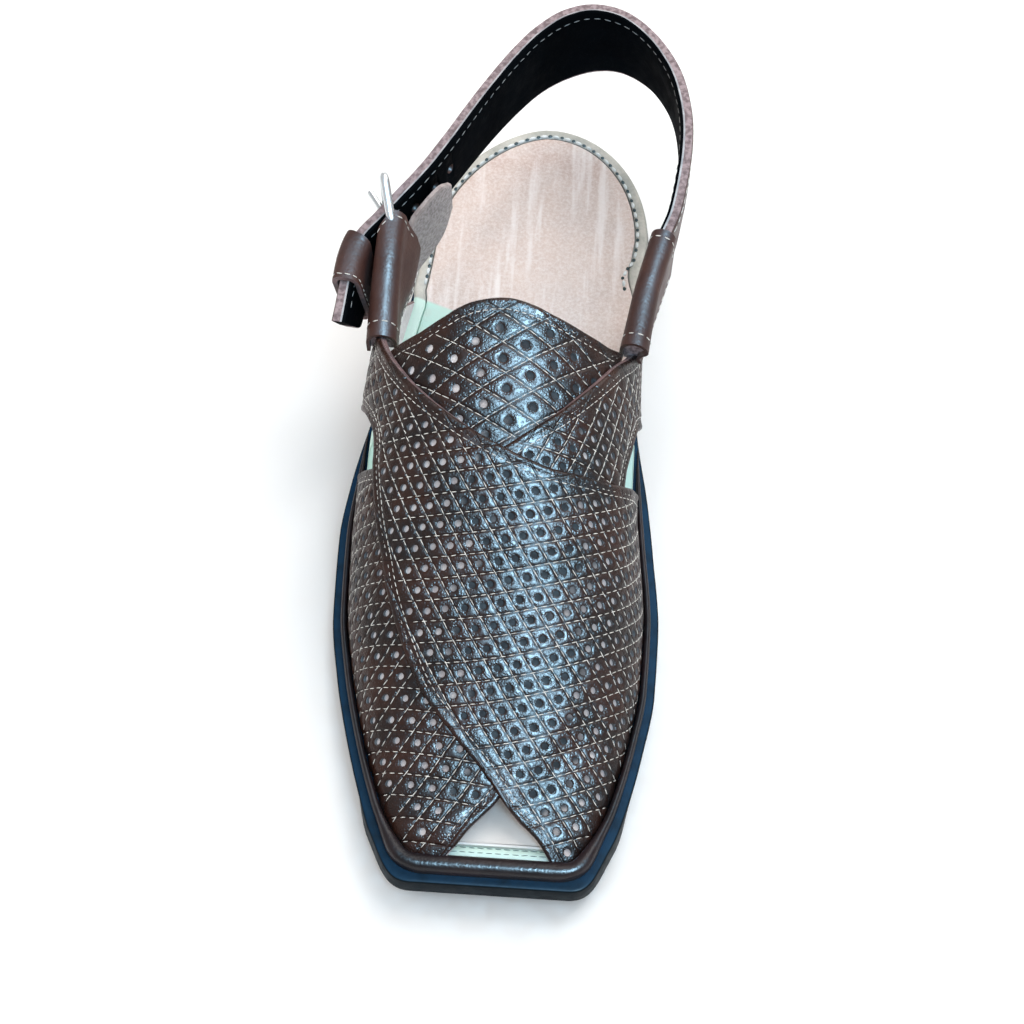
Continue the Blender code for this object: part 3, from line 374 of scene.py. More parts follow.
def tube(path: Points, radius: float, closed: bool = False, sides: int = 14) -> MeshParts:
    """A round bar along a path, which may not start along the askew direction."""
    ahead, behind = np.roll(path, -1, axis=0), np.roll(path, 1, axis=0)
    if not closed:
        ahead[-1], behind[0] = path[-1], path[0]
    along = unit(ahead - behind)
    askew = (0.31, 0.17, 0.93)
    turn = np.cross(along[0], askew)
    frames = []
    for direction in along:
        turn = unit(turn - direction * (turn @ direction))
        frames.append((turn, np.cross(direction, turn)))
    angles = np.arange(sides) * math.tau / sides
    across, up = np.cos(angles), np.sin(angles)
    rings = [p + radius * (np.outer(across, a) + np.outer(up, b)) for p, (a, b) in zip(path, frames)]
    return loft(np.array(rings), closed)


def make_object(
    name: str,
    parts: MeshParts,
    finishes: Sequence["Finish"],
    uvs: dict[str, Points] | None = None,
    sharp: float = 42.0,
) -> bpy.types.Object:
    """A closed mesh object with its faces turned outwards.

    Args:
        name: The piece's name.
        parts: Its mesh, in millimetres.
        finishes: Its finishes, by the material numbers of its faces.
        uvs: UV maps by name, with one place for each point.
        sharp: The angle in degrees from which an edge stays sharp.

    Returns:
        The object, in the scene.
    """
    mesh = bpy.data.meshes.new(name)
    mesh.from_pydata((np.asarray(parts.points) * MM).tolist(), [], parts.faces)
    mesh.polygons.foreach_set("material_index", parts.slots)
    shape = bmesh.new()
    shape.from_mesh(mesh)
    bmesh.ops.recalc_face_normals(shape, faces=shape.faces)
    shape.to_mesh(mesh)
    shape.free()
    for label, places in (uvs or {}).items():
        corners = np.zeros(len(mesh.loops), np.int32)
        mesh.loops.foreach_get("vertex_index", corners)
        values = np.asarray(places, np.float32)[corners]
        mesh.uv_layers.new(name=label).uv.foreach_set("vector", values.ravel())
    mesh.shade_smooth()
    mesh.set_sharp_from_angle(angle=math.radians(sharp))
    made = bpy.data.objects.new(name, mesh)
    for finish in finishes:
        mesh.materials.append(finish.material())
    bpy.context.scene.collection.objects.link(made)
    return made


def put_on(piece: bpy.types.Object, slot: str, *nodes: str) -> None:
    """Fixes a finished piece to the shoe's body, hides the solids it stands for and reports it."""
    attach(piece, "root")
    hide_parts(*nodes)
    LOG.info("%s: %d faces for %s", piece.name, len(piece.data.polygons), ", ".join(nodes))


def cut(piece: bpy.types.Object, cutters: Sequence[bpy.types.Object]) -> None:
    """Cuts other objects out of a piece for good and removes them."""
    for other in cutters:
        modifier = piece.modifiers.new(other.name, "BOOLEAN")
        modifier.operation, modifier.solver, modifier.object = "DIFFERENCE", "EXACT", other
    bake(piece)
    for other in cutters:
        bpy.data.objects.remove(other)


def bake(piece: bpy.types.Object) -> None:
    """Replaces a piece's mesh by what its modifiers make of it."""
    bpy.context.view_layer.update()
    evaluated = piece.evaluated_get(bpy.context.evaluated_depsgraph_get())
    mesh = bpy.data.meshes.new_from_object(evaluated)
    piece.modifiers.clear()
    piece.data = mesh


def box_parts(low: Sequence[float], high: Sequence[float]) -> MeshParts:
    """A box between two corners."""
    corners = [(x, y, z) for x in (low[0], high[0]) for y in (low[1], high[1]) for z in (low[2], high[2])]
    faces = [(0, 1, 3, 2), (4, 6, 7, 5), (0, 4, 5, 1), (2, 3, 7, 6), (0, 2, 6, 4), (1, 5, 7, 3)]
    return MeshParts(np.array(corners), faces, [0] * 6)


# ---- finishes
def add_node(tree: bpy.types.NodeTree, kind: str, settings: dict | None = None, **inputs) -> bpy.types.Node:
    """A tree's new node with its settings, and its inputs set or linked.

    Args:
        tree: The tree.
        kind: The node's type.
        settings: Its settings by name.
        inputs: Its inputs' values or sources, by name with _ for a space, or as nK for input K.

    Returns:
        The node.
    """
    made = tree.nodes.new(kind)
    for name, value in (settings or {}).items():
        setattr(made, name, value)
    for name, value in inputs.items():
        numbered = name[0] == "n" and name[1:].isdigit()
        socket = made.inputs[int(name[1:]) if numbered else name.replace("_", " ")]
        if isinstance(value, Socket):
            tree.links.new(value, socket)
        else:
            socket.default_value = value
    return made


class Brush:
    """Builds one Principled material node by node."""

    def __init__(self, name: str) -> None:
        """Starts the named material."""
        self.made = bpy.data.materials.new(name)
        self.made.use_nodes = True
        self.tree = self.made.node_tree
        self.shader = self.tree.nodes["Principled BSDF"]
        self.places = self.tree.nodes.new("ShaderNodeTexCoord").outputs["Object"]
        self.height: Socket | None = None

    def node(self, kind: str, settings: dict | None = None, **inputs) -> bpy.types.Node:
        """A node of the material, by add_node."""
        return add_node(self.tree, kind, settings, **inputs)

    def stretched(self, scale: Sequence[float], turn: float = 0.0) -> Socket:
        """Object places, stretched along the axes and turned about Z by an angle in degrees."""
        rotation = (0.0, 0.0, math.radians(turn))
        node = self.node("ShaderNodeMapping", Vector=self.places, Rotation=rotation, Scale=tuple(scale))
        return node.outputs["Vector"]

    def noise(
        self, scale: float, detail: float = 3.0, rough: float = 0.5, places: Socket | None = None
    ) -> Socket:
        """Soft noise with a number of features to the metre."""
        where = places or self.places
        node = self.node("ShaderNodeTexNoise", Vector=where, Scale=scale, Detail=detail, Roughness=rough)
        return node.outputs["Fac"]

    def cells(self, scale: float) -> Socket:
        """The distance from the middle of each grain of a pebbled surface."""
        return self.node("ShaderNodeTexVoronoi", Vector=self.places, Scale=scale).outputs["Distance"]

    def ramp(self, value: Socket, low: float, high: float, out: tuple[float, float] = (0.0, 1.0)) -> Socket:
        """A value's smooth rise from one end to the other."""
        smooth = {"interpolation_type": "SMOOTHSTEP"}
        ends = {"From_Min": low, "From_Max": high, "To_Min": out[0], "To_Max": out[1]}
        return self.node("ShaderNodeMapRange", smooth, Value=value, **ends).outputs["Result"]

    def math(self, operation: str, *values: Socket | float) -> Socket:
        """Arithmetic on values."""
        inputs = {f"n{k}": value for k, value in enumerate(values)}
        return self.node("ShaderNodeMath", {"operation": operation}, **inputs).outputs[0]

    def mix(self, share: Socket | float, a: Socket | Colour, b: Socket | Colour) -> Socket:
        """A colour between two others."""
        first, second = ((*c, 1.0) if isinstance(c, tuple) else c for c in (a, b))
        return self.node("ShaderNodeMix", {"data_type": "RGBA"}, n0=share, n6=first, n7=second).outputs[2]

    def axis(self, name: str) -> Socket:
        """One coordinate of the place, in metres."""
        return self.node("ShaderNodeSeparateXYZ", Vector=self.places).outputs[name]

    def upward(self) -> Socket:
        """How far the surface faces up, 1 on a level top."""
        facing = self.node("ShaderNodeNewGeometry").outputs["Normal"]
        return self.node("ShaderNodeSeparateXYZ", Vector=facing).outputs["Z"]

    def uv(self, label: str) -> tuple[Socket, Socket]:
        """Both coordinates of a UV map."""
        places = self.node("ShaderNodeUVMap", {"uv_map": label}).outputs[0]
        split = self.node("ShaderNodeSeparateXYZ", Vector=places)
        return split.outputs["X"], split.outputs["Y"]

    def emboss(self, height: Socket, depth: float) -> None:
        """Adds relief: a height from 0 to 1 over a depth in millimetres."""
        node = self.node("ShaderNodeBump", Height=height, Distance=depth * MM)
        if self.height is not None:
            self.tree.links.new(self.height, node.inputs["Normal"])
        self.height = node.outputs["Normal"]

    def done(self, colour: Socket, roughness: Socket, **fixed: float) -> bpy.types.Material:
        """Joins everything to the shader and gives the material."""
        self.tree.links.new(colour, self.shader.inputs["Base Color"])
        self.tree.links.new(roughness, self.shader.inputs["Roughness"])
        for name, value in fixed.items():
            self.shader.inputs[name.replace("_", " ")].default_value = value
        if self.height is not None:
            self.tree.links.new(self.height, self.shader.inputs["Normal"])
        return self.made


@dataclass(frozen=True)
class Finish:
    """A mottled surface with fine relief, the base of every other finish."""

    name: str
    colour: Colour
    second: Colour
    roughness: float
    patch: float = 60.0
    grain: float = 1200.0
    relief: float = 0.05
    coat: float = 0.0
    sheen: float = 0.0
    metallic: float = 0.0
    specular: float = 0.5
    coat_roughness: float = 0.25
    spread: float = 0.15
    fleck: float = 9.0
    fleck_share: float = 0.25

    def material(self) -> bpy.types.Material:
        """The finish's material, made once."""
        return bpy.data.materials.get(self.name) or self.paint(Brush(self.name))

    def mottled(self, brush: Brush) -> Socket:
        """Both colours in broad patches with finer flecks."""
        broad = brush.ramp(brush.noise(self.patch, 4), 0.35, 0.65)
        flecks = brush.ramp(brush.noise(self.patch * self.fleck, 3), 0.3, 0.7, (0.0, self.fleck_share))
        share = brush.math("MULTIPLY_ADD", broad, 1 - self.fleck_share, flecks)
        return brush.mix(share, self.colour, self.second)

    def paint(self, brush: Brush) -> bpy.types.Material:
        """Paints the material."""
        brush.emboss(brush.noise(self.grain, 2), self.relief)
        spread = self.roughness * self.spread
        ends = (self.roughness - spread, min(1.0, self.roughness + spread))
        rough = brush.ramp(brush.noise(self.patch * 3, 3), 0.25, 0.75, ends)
        return brush.done(
            self.mottled(brush),
            rough,
            Coat_Weight=self.coat,
            Coat_Roughness=self.coat_roughness,
            Sheen_Weight=self.sheen,
            Metallic=self.metallic,
            Specular_IOR_Level=self.specular,
        )


@dataclass(frozen=True)
class GrainLeather(Finish):
    """Polished leather with pores."""

    pores: float = 900.0
    pore_depth: float = 0.06

    def paint(self, brush: Brush) -> bpy.types.Material:
        """Adds pores under the base's relief."""
        brush.emboss(brush.ramp(brush.cells(self.pores), 0.1, 0.6), self.pore_depth)
        brush.emboss(brush.noise(160, 3), 0.25)
        return super().paint(brush)


@dataclass(frozen=True)
class QuiltedLeather(GrainLeather):
    """Polished leather pulled down along its quilting lines."""

    line: float = 0.9
    cell: float = 8.2
    dip: float = 0.35

    def paint(self, brush: Brush) -> bpy.types.Material:
        """Adds the pulled lines, from the cells map."""
        steep, cross = brush.uv("cells")
        away = brush.math("MINIMUM", *(brush.math("PINGPONG", count, 0.5) for count in (steep, cross)))
        brush.emboss(brush.ramp(away, 0.0, self.line / self.cell), self.dip)
        return super().paint(brush)


@dataclass(frozen=True)
class Seam:
    """The slanting seam across the footbed, ahead of which its leathers are pale, in metres."""

    place: float = -0.0496
    slant: float = 0.342
    width: float = 0.0012

    def ahead(self, brush: Brush) -> Socket:
        """0 behind the seam and 1 ahead of it."""
        place = brush.math("ADD", brush.axis("Y"), brush.math("MULTIPLY", brush.axis("X"), self.slant))
        return brush.ramp(place, self.place, self.place - self.width)


@dataclass(frozen=True)
class Insole(Finish):
    """Tan insole leather with pale streaks along the foot, and a pale sock ahead of the seam."""

    pale: Colour = (0.95, 0.90, 0.885)
    stain: Colour = (0.42, 0.20, 0.13)
    waist: Colour = (0.52, 0.80, 0.72)
    toe: Colour = (0.80, 0.76, 0.72)
    dust: Colour = (0.62, 0.50, 0.45)
    lean: float = -17.0
    stretch: tuple[float, float, float] = (1.0, 0.07, 1.0)
    stained: tuple[float, float] = (0.004, 0.026)
    waist_to_toe: tuple[float, float] = (-0.13, -0.18)

    def mottled(self, brush: Brush) -> Socket:
        """Streaks and stains on the base's patches, and the pale fore part."""
        lines = brush.stretched(self.stretch, self.lean)
        streak = brush.ramp(brush.noise(260, 3, 0.55, lines), 0.47, 0.70, (0.0, 0.6))
        fibres = brush.ramp(brush.noise(900, 4, 0.8), 0.35, 0.7, (0.0, 0.45))
        blots = brush.ramp(brush.noise(60, 3), 0.42, 0.58, (0.0, 0.3))
        heel = brush.math("MULTIPLY", brush.ramp(brush.axis("Y"), *self.stained), blots)
        tan = brush.mix(heel, super().mottled(brush), self.stain)
        tan = brush.mix(fibres, brush.mix(streak, tan, self.pale), self.pale)
        fore = brush.mix(brush.ramp(brush.axis("Y"), *self.waist_to_toe), self.waist, self.toe)
        fore = brush.mix(brush.ramp(brush.noise(90, 4), 0.4, 0.8, (0.0, 0.35)), fore, self.dust)
        return brush.mix(Seam().ahead(brush), tan, fore)


@dataclass(frozen=True)
class Suede(Finish):
    """The rough flesh side of leather."""

    def paint(self, brush: Brush) -> bpy.types.Material:
        """Adds loose fibres."""
        brush.emboss(brush.noise(700, 5, 0.7), 0.25)
        return super().paint(brush)


@dataclass(frozen=True)
class Lining(Suede):
    """Pale lining, with painted shade darkening it under the middle of the upper so the holes there look
    dark.
    """

    # Painted shade: the dark colour laid on the lining along the middle of the upper.
    painted_middle_shade: Colour = (0.030, 0.024, 0.026)
    middle: float = -0.003
    reach: tuple[float, float] = (0.020, 0.013)

    def mottled(self, brush: Brush) -> Socket:
        """Paints shade on what faces up along the middle."""
        away = brush.math("ABSOLUTE", brush.math("ADD", brush.axis("X"), self.middle))
        away = brush.math("ADD", away, brush.ramp(brush.noise(60, 2), 0.3, 0.7, (-0.006, 0.006)))
        # painted shade, strongest along the middle and on what faces up
        share = brush.math("MULTIPLY", brush.ramp(away, *self.reach), brush.ramp(brush.upward(), 0.05, 0.3))
        return brush.mix(share, super().mottled(brush), self.painted_middle_shade)


@dataclass(frozen=True)
class RimLeather(Suede):
    """The board's pale leather, minty from the waist to the toe and greyer on its outer edge, where painted
    shade is laid on what faces away from up.
    """

    strip: Colour = (0.62, 0.84, 0.76)
    # Painted shade: the grey laid on the board's faces that turn away from up.
    painted_side_shade: Colour = (0.30, 0.30, 0.27)

    def mottled(self, brush: Brush) -> Socket:
        """Adds the strip and the painted shade on the edge."""
        # painted shade by the direction of the surface
        side_shaded = brush.mix(brush.ramp(brush.upward(), 0.97, 0.6), super().mottled(brush), self.painted_side_shade)
        return brush.mix(Seam().ahead(brush), side_shaded, self.strip)


@dataclass(frozen=True)
class EdgeLitRubber(Finish):
    """Dark rubber with a painted slate-blue sky reflection on what faces up."""

    # Painted reflection: the slate blue of a cool sky light, laid on what faces up.
    painted_sky_reflection: Colour = (0.006, 0.037, 0.086)

    def mottled(self, brush: Brush) -> Socket:
        """Adds the painted reflection by the direction of the surface."""
        # noise patches and facing up set how much painted reflection shows
        blots = brush.ramp(brush.noise(140, 4), 0.25, 0.6, (0.45, 1.0))
        share = brush.math("MULTIPLY", brush.ramp(brush.upward(), 0.72, 0.98), blots)
        return brush.mix(share, super().mottled(brush), self.painted_sky_reflection)


QUILTED = QuiltedLeather(
    "quilted_brown", (0.010, 0.0048, 0.0036), (0.036, 0.0115, 0.0055), 0.37,
    patch=70, coat=0.06, specular=0.21, pores=1250, pore_depth=0.095
)
SMOOTH = GrainLeather(
    "smooth_brown", (0.040, 0.0145, 0.0100), (0.070, 0.025, 0.0155), 0.50,
    patch=50, coat=0.04, specular=0.26, pore_depth=0.03
)
RAND_LEATHER = GrainLeather(
    "polished_rand", (0.006, 0.0035, 0.005), (0.017, 0.0078, 0.009), 0.36,
    coat=0.02, specular=0.22, pore_depth=0.03
)
LINING = Lining("lining_grey", (0.95, 0.92, 0.94), (0.62, 0.57, 0.59), 0.8, patch=110, specular=0.2)
FLESH = Suede("flesh_side", (0.20, 0.135, 0.115), (0.11, 0.070, 0.060), 0.85, patch=150, specular=0.2)
CUT_EDGE = Suede("cut_edge", (0.20, 0.110, 0.105), (0.075, 0.040, 0.038), 0.6, patch=240)
HOLE_WALL = Suede("hole_wall", (0.13, 0.105, 0.10), (0.035, 0.024, 0.022), 0.8, patch=200)
RAW_EDGE = Suede("raw_edge", (0.38, 0.300, 0.315), (0.13, 0.088, 0.092), 0.8, patch=650, specular=0.2)
PALE_EDGE = Suede("pale_edge", (0.52, 0.45, 0.44), (0.30, 0.24, 0.235), 0.8, patch=300, specular=0.2)
EDGE_LINE = Finish("edge_line", (0.46, 0.46, 0.48), (0.20, 0.20, 0.22), 0.6, patch=200)
BLACK_LINING = GrainLeather(
    "black_lining", (0.0008, 0.0012, 0.002), (0.002, 0.003, 0.0045), 0.75,
    pore_depth=0.03, specular=0.01
)
THREAD = Finish("cream_thread", (0.90, 0.88, 0.82), (0.50, 0.47, 0.42), 0.75, patch=300, grain=4000)
WHITE_THREAD = Finish("white_thread", (0.80, 0.84, 0.85), (0.55, 0.60, 0.60), 0.7, patch=300, grain=4000)
# Painted shade: dark dots that stand for the shaded stitch holes in the rim.
STITCH_HOLE_SHADE = Finish("painted_stitch_hole_shade", (0.010, 0.022, 0.020), (0.02, 0.035, 0.03), 0.7, patch=300, grain=4000)
GREEN_THREAD = Finish("green_thread", (0.035, 0.085, 0.070), (0.09, 0.17, 0.145), 0.7, patch=300, grain=4000)
GREY_THREAD = Finish("grey_thread", (0.26, 0.26, 0.25), (0.10, 0.10, 0.10), 0.7, patch=300, grain=4000)
RIM = RimLeather("rim_cream", (0.60, 0.58, 0.52), (0.36, 0.36, 0.32), 0.6, patch=120)
INSOLE = Insole("insole_tan", (0.68, 0.525, 0.455), (0.59, 0.475, 0.425), 0.62, patch=24)
RUBBER = EdgeLitRubber(
    "sole_rubber", (0.002, 0.005, 0.008), (0.005, 0.010, 0.014), 0.46,
    patch=90, specular=0.05
)
SUEDE = Suede("flap_suede", (0.40, 0.325, 0.31), (0.18, 0.135, 0.125), 0.95, patch=900, sheen=0.3)
STEEL = Finish("nickel_plate", (0.72, 0.74, 0.75), (0.60, 0.62, 0.63), 0.26, relief=0.002, metallic=1.0)
FLOOR = Finish("studio_floor", (0.93, 0.93, 0.925), (0.93, 0.93, 0.925), 0.8, relief=0.0)


# ---- stitches
@dataclass
class Stitches:
    """Thread dashes, gathered and then sewn as one piece by Geometry Nodes."""

    name: str
    finish: Finish
    width: float = 0.3
    flat: float = 0.75
    uneven: tuple[float, float] = (0.88, 1.08)
    wobble: float = 0.05
    centres: list[Points] = field(default_factory=list)
    along: list[Points] = field(default_factory=list)
    up: list[Points] = field(default_factory=list)
    length: list[Points] = field(default_factory=list)

    def add(self, centres: Points, along: Points, up: Points, length: float | Points) -> None:
        """Gathers dashes.

        Args:
            centres: Their middles, in millimetres.
            along: Their directions.
            up: The directions out of the surface, or one for all.
            length: Their lengths, or one for all.
        """
        if len(centres):
            self.centres.append(centres)
            self.along.append(unit(along))
            self.up.append(unit(np.broadcast_to(up, centres.shape)))
            self.length.append(np.broadcast_to(length, len(centres)))

    def sew(self, slot: str, *nodes: str) -> None:
        """Makes the dashes one mesh and puts it on.

        Args:
            slot: The record's material slot; not used.
            nodes: The solids that this piece helps to stand for.
        """
        mesh = bpy.data.meshes.new(self.name)
        centres = np.concatenate(self.centres)
        mesh.from_pydata((centres * MM).tolist(), [], [])
        rng = np.random.default_rng(SEED)
        length = np.concatenate(self.length) * rng.uniform(*self.uneven, len(centres))
        width = np.full(len(centres), self.width)
        size = np.stack([length, width, width * self.flat], axis=1) * MM / 2
        turned = unit(np.concatenate(self.along) + self.wobble * rng.standard_normal((len(centres), 3)))
        for label, values in (("run", turned), ("out", np.concatenate(self.up)), ("size", size)):
            stored = mesh.attributes.new(label, "FLOAT_VECTOR", "POINT")
            stored.data.foreach_set("vector", values.astype(np.float32).ravel())
        piece = bpy.data.objects.new(self.name, mesh)
        bpy.context.scene.collection.objects.link(piece)
        modifier = piece.modifiers.new("stitches", "NODES")
        modifier.node_group = stitch_tree()
        for socket in modifier.node_group.interface.items_tree:
            if socket.name == "Thread":
                modifier[socket.identifier] = self.finish.material()
        bake(piece)
        put_on(piece, slot, *nodes)


@lru_cache(None)
def stitch_tree(segments: int = 6, rings: int = 5) -> bpy.types.NodeTree:
    """The node tree that puts a thread dash on every point, along its run and out of the surface."""
    tree = bpy.data.node_groups.new("stitch_dashes", "GeometryNodeTree")
    sockets = (
        ("Points", "INPUT", "Geometry"),
        ("Thread", "INPUT", "Material"),
        ("Stitches", "OUTPUT", "Geometry"),
    )
    for name, way, kind in sockets:
        tree.interface.new_socket(name, in_out=way, socket_type=f"NodeSocket{kind}")
    start = add_node(tree, "NodeGroupInput")
    read = ("GeometryNodeInputNamedAttribute", {"data_type": "FLOAT_VECTOR"})
    run, out, size = (add_node(tree, *read, Name=n).outputs["Attribute"] for n in ("run", "out", "size"))
    axes = {"primary_axis": "X", "secondary_axis": "Z"}
    turned = add_node(tree, "FunctionNodeAxesToRotation", axes, n0=run, n1=out).outputs["Rotation"]
    ball = add_node(tree, "GeometryNodeMeshUVSphere", Segments=segments, Rings=rings).outputs["Mesh"]
    dash = add_node(tree, "GeometryNodeTransform", Geometry=ball, Rotation=(0.0, math.pi / 2, 0.0)).outputs[0]
    where = {"Points": start.outputs["Points"], "Instance": dash, "Rotation": turned, "Scale": size}
    placed = add_node(tree, "GeometryNodeInstanceOnPoints", **where).outputs["Instances"]
    real = add_node(tree, "GeometryNodeRealizeInstances", Geometry=placed).outputs[0]
    smooth = add_node(tree, "GeometryNodeSetShadeSmooth", Geometry=real).outputs[0]
    thread = start.outputs["Thread"]
    painted = add_node(tree, "GeometryNodeSetMaterial", Geometry=smooth, Material=thread).outputs[0]
    add_node(tree, "NodeGroupOutput", Stitches=painted)
    return tree


def dashes(line: Points, pitch: float) -> tuple[Points, Points]:
    """The middles and directions of stitches at an even pitch along a polyline."""
    whole = lengths_along(line)[-1]
    count = int(whole // pitch)
    if count < 1:
        return np.zeros((0, line.shape[1])), np.zeros((0, line.shape[1]))
    spare = (whole - count * pitch) / 2
    middles = spare + (np.arange(count) + 0.5) * pitch
    runs = places_on(line, middles + pitch / 4) - places_on(line, middles - pitch / 4)
    return places_on(line, middles), runs


# ---- sole, footbed and rand
@dataclass(frozen=True)
class Level:
    """A line along the edge of a flat piece: how far in it runs, its height, and any step by station."""

    inset: Callable[[Points, Side], Points]
    height: ByStation
    squeeze: Callable[[Points, Side], Points] | None = None
    step: ByStation | None = None


def steady(value: float) -> ByStation:
    """The same value at every station."""
    return lambda y: value + 0.0 * y


def forward(stations: Iterable[float]) -> Points:
    """Stations from the heel towards the toe, each one once."""
    return np.array(sorted({round(y, 4) for y in stations}, reverse=True))


@dataclass(frozen=True)
class Plan:
    """The sole's outline and heights, which every flat piece follows."""

    heel_back: float = 40.5
    heel_centre: float = -8.0
    power_lateral: float = 1.7
    power_medial: float = 2.0
    corner_start: float = -224.0
    toe_front: float = -238.0
    corner_pull: float = 7.0
    side_pull: tuple[float, float] = (0.6, 0.62)
    square_inset: float = 8.0
    heel_steps: int = 30
    corner_steps: int = 14
    first_angle: float = 86.0
    pitch: float = 3.0
    wall: float = 2.2
    quarter_inset: float = 1.2
    grooves: tuple[float, ...] = (24.0, 12.0, *(-136.0 - 9.0 * k for k in range(6)))
    groove_width: float = 2.4
    groove_depth: float = 1.6
    groove_slope: float = 0.15

    @lru_cache(None)
    def outline(self, side: Side) -> Points:
        """One side of the outline, from the heel's back to the toe's front, at stations both sides share."""
        column = side.name.lower()
        power = self.power_lateral if side is Side.LATERAL else self.power_medial
        reaches = [way * (self.groove_width / 2 + s) for way in (-1, 1) for s in (0, self.groove_slope)]
        edges = [groove + reach for groove in self.grooves for reach in reaches]
        back = self.heel_back - self.heel_centre
        angles = [math.radians(self.first_angle * (1 - k / self.heel_steps)) for k in range(self.heel_steps)]
        round_heel = [self.heel_centre + back * math.sin(angle) for angle in angles]
        ring = forward([*round_heel, *(e for e in edges if e > self.heel_centre)])
        share = (ring - self.heel_centre) / back
        rounded = side.value * SOLE.at(column, self.heel_centre) * (1 - share**power) ** (1 / power)
        straight = np.arange(self.heel_centre, self.corner_start - 0.1, -self.pitch)
        straight = forward([*straight, self.corner_start, *(e for e in edges if e < self.heel_centre)])
        depth = self.corner_start - self.toe_front
        start, end = SOLE.at(column, self.corner_start), SOLE.at(column, self.toe_front)
        slope = (start - SOLE.at(column, self.corner_start + 2)) / 2
        across, ahead = self.side_pull
        pulls = np.array(
            [
                (start, self.corner_start),
                (start + slope * depth * across, self.corner_start - depth * ahead),
                (end + self.corner_pull, self.toe_front),
                (end, self.toe_front),
            ]
        )
        t = np.arange(1, self.corner_steps + 1)[:, None] / self.corner_steps
        shares = ((1 - t) ** 3, 3 * t * (1 - t) ** 2, 3 * t * t * (1 - t), t**3)
        corner = sum(share * pull for share, pull in zip(shares, pulls))
        corner[:, 0] *= side.value
        straight = np.stack([side.value * SOLE.at(column, straight), straight], 1)
        return np.vstack([np.stack([rounded, ring], 1), straight, corner])

    def inset(self, side: Side, depth: ByStation, squeeze: ByStation | None = None) -> Points:
        """The outline moved inwards.

        Args:
            side: Which side.
            depth: How far in, by the station.
            squeeze: How much narrower besides, by the station.

        Returns:
            The moved points, one for each station.
        """
        points = self.outline(side)
        along = np.vstack([points[1:], points[-1:]]) - np.vstack([points[:1], points[:-1]])
        along[-1] = (-side.value, 0.0)
        along = unit(along)
        deep = np.broadcast_to(depth(points[:, 1]), len(points))
        near = np.minimum(deep, self.square_inset)[:, None]
        moved = points + side.value * np.stack([along[:, 1], -along[:, 0]], 1) * near
        corner = moved[-1 - self.corner_steps]
        extra = np.maximum(deep - self.square_inset, 0.0)
        share = np.minimum(1.0, np.abs(moved[:, 0] / corner[0]))
        passed = np.maximum(0.0, (corner[1] - moved[:, 1]) / (corner[1] - moved[-1, 1]))
        narrower = extra + (squeeze(points[:, 1]) if squeeze else 0.0)
        moved = moved + np.stack([-side.value * narrower * share, extra * passed], 1)
        moved[:, 0] = side.value * np.maximum(side.value * moved[:, 0], 0.2)
        return moved

    def top(self, y: Points) -> Points:
        """The sole's upper face."""
        return SOLE.at("top", y)

    def under(self, y: Points) -> Points:
        """The sole's lower face."""
        return SOLE.at("under", y)

    def upper_inset(self, y: Points) -> Points:
        """How far the upper's outer face stands inside the sole's edge."""
        return np.maximum(self.quarter_inset, SOLE.at("ledge", y) + SOLE.at("rand", y) + WRAP_GAP)

    def groove(self, y: Points, under: Points) -> Points:
        """How far a groove lifts the tread at a station above its plain height."""
        away = np.min([np.abs(y - g) for g in self.grooves], axis=0)
        return np.where(away <= self.groove_width / 2 + 1e-3, np.maximum(self.groove_depth - under, 0.0), 0.0)

    def plate(self, levels: Sequence[Level], heel: float = math.inf, toe: float = -math.inf) -> MeshParts:
        """A solid along the outline, through levels from its underside to its top."""
        stations = self.outline(Side.LATERAL)[:, 1]
        keep = (stations <= heel) & (stations >= toe)
        ring = []
        for side in Side:
            lines = []
            for level in levels:
                squeeze = (lambda y, level=level: level.squeeze(y, side)) if level.squeeze else None
                line = self.inset(side, lambda y: level.inset(y, side), squeeze)
                height = level.height(line[:, 1]) + (level.step(stations) if level.step else 0.0)
                lines.append(np.column_stack([line, np.broadcast_to(height, len(line))])[keep])
            ring += lines if side is Side.LATERAL else lines[::-1]
        return loft(np.stack(ring, axis=1), ladder=True)


PLAN = Plan()


@dataclass(frozen=True)
class Sole:
    """The full-length rubber sole and the heel block under its seat."""

    heel_breast: float = -25.0
    heel_seat: float = 15.5
    heel_inset: float = 1.4
    heel_taper: float = 0.6
    edge: float = 0.8
    flat: float = 0.6
    draft: float = 1.0
    flare: float = 0.8

    def foot(self, y: Points) -> Points:
        """How far the side's foot stands inside its top; at the toe it stands outside."""
        return self.draft - (self.draft + self.flare) * smooth_step((-196.0 - y) / 26.0)

    def round_over(
        self, inset: ByStation, height: ByStation, up: int, step: ByStation | None = None
    ) -> list[Level]:
        """Levels round an edge, from its side to its flat (up 1) or from its flat to its side (up -1)."""
        levels = []
        for k in range(4):
            angle = math.radians(30 * k)
            across, down = self.edge * (1 - math.cos(angle)), self.edge * (1 - math.sin(angle))
            place, rise = lambda y, s, a=across: inset(y) + a, lambda y, d=down: height(y) - up * d
            levels.append(Level(place, rise, step=step))
        levels.append(Level(lambda y, s: inset(y) + self.edge + self.flat, height, step=step))
        return levels if up > 0 else levels[::-1]

    def make(self) -> None:
        """Makes both pieces."""
        tread = lambda y: PLAN.groove(y, PLAN.under(y))
        levels = self.round_over(self.foot, PLAN.under, -1, tread)
        levels += self.round_over(steady(0.0), PLAN.top, 1)
        put_on(make_object("outsole_rubber", PLAN.plate(levels), [RUBBER]), "black_rubber", "outsole")
        foot = steady(self.heel_inset + self.heel_taper)
        levels = self.round_over(foot, steady(0.0), -1, lambda y: PLAN.groove(y, 0.0 * y))
        levels.append(Level(lambda y, s: self.heel_inset, steady(self.heel_seat - GAP)))
        heel = PLAN.plate(levels, toe=self.heel_breast)
        put_on(make_object("heel_rubber", heel, [RUBBER]), "black_rubber", "heel_block")


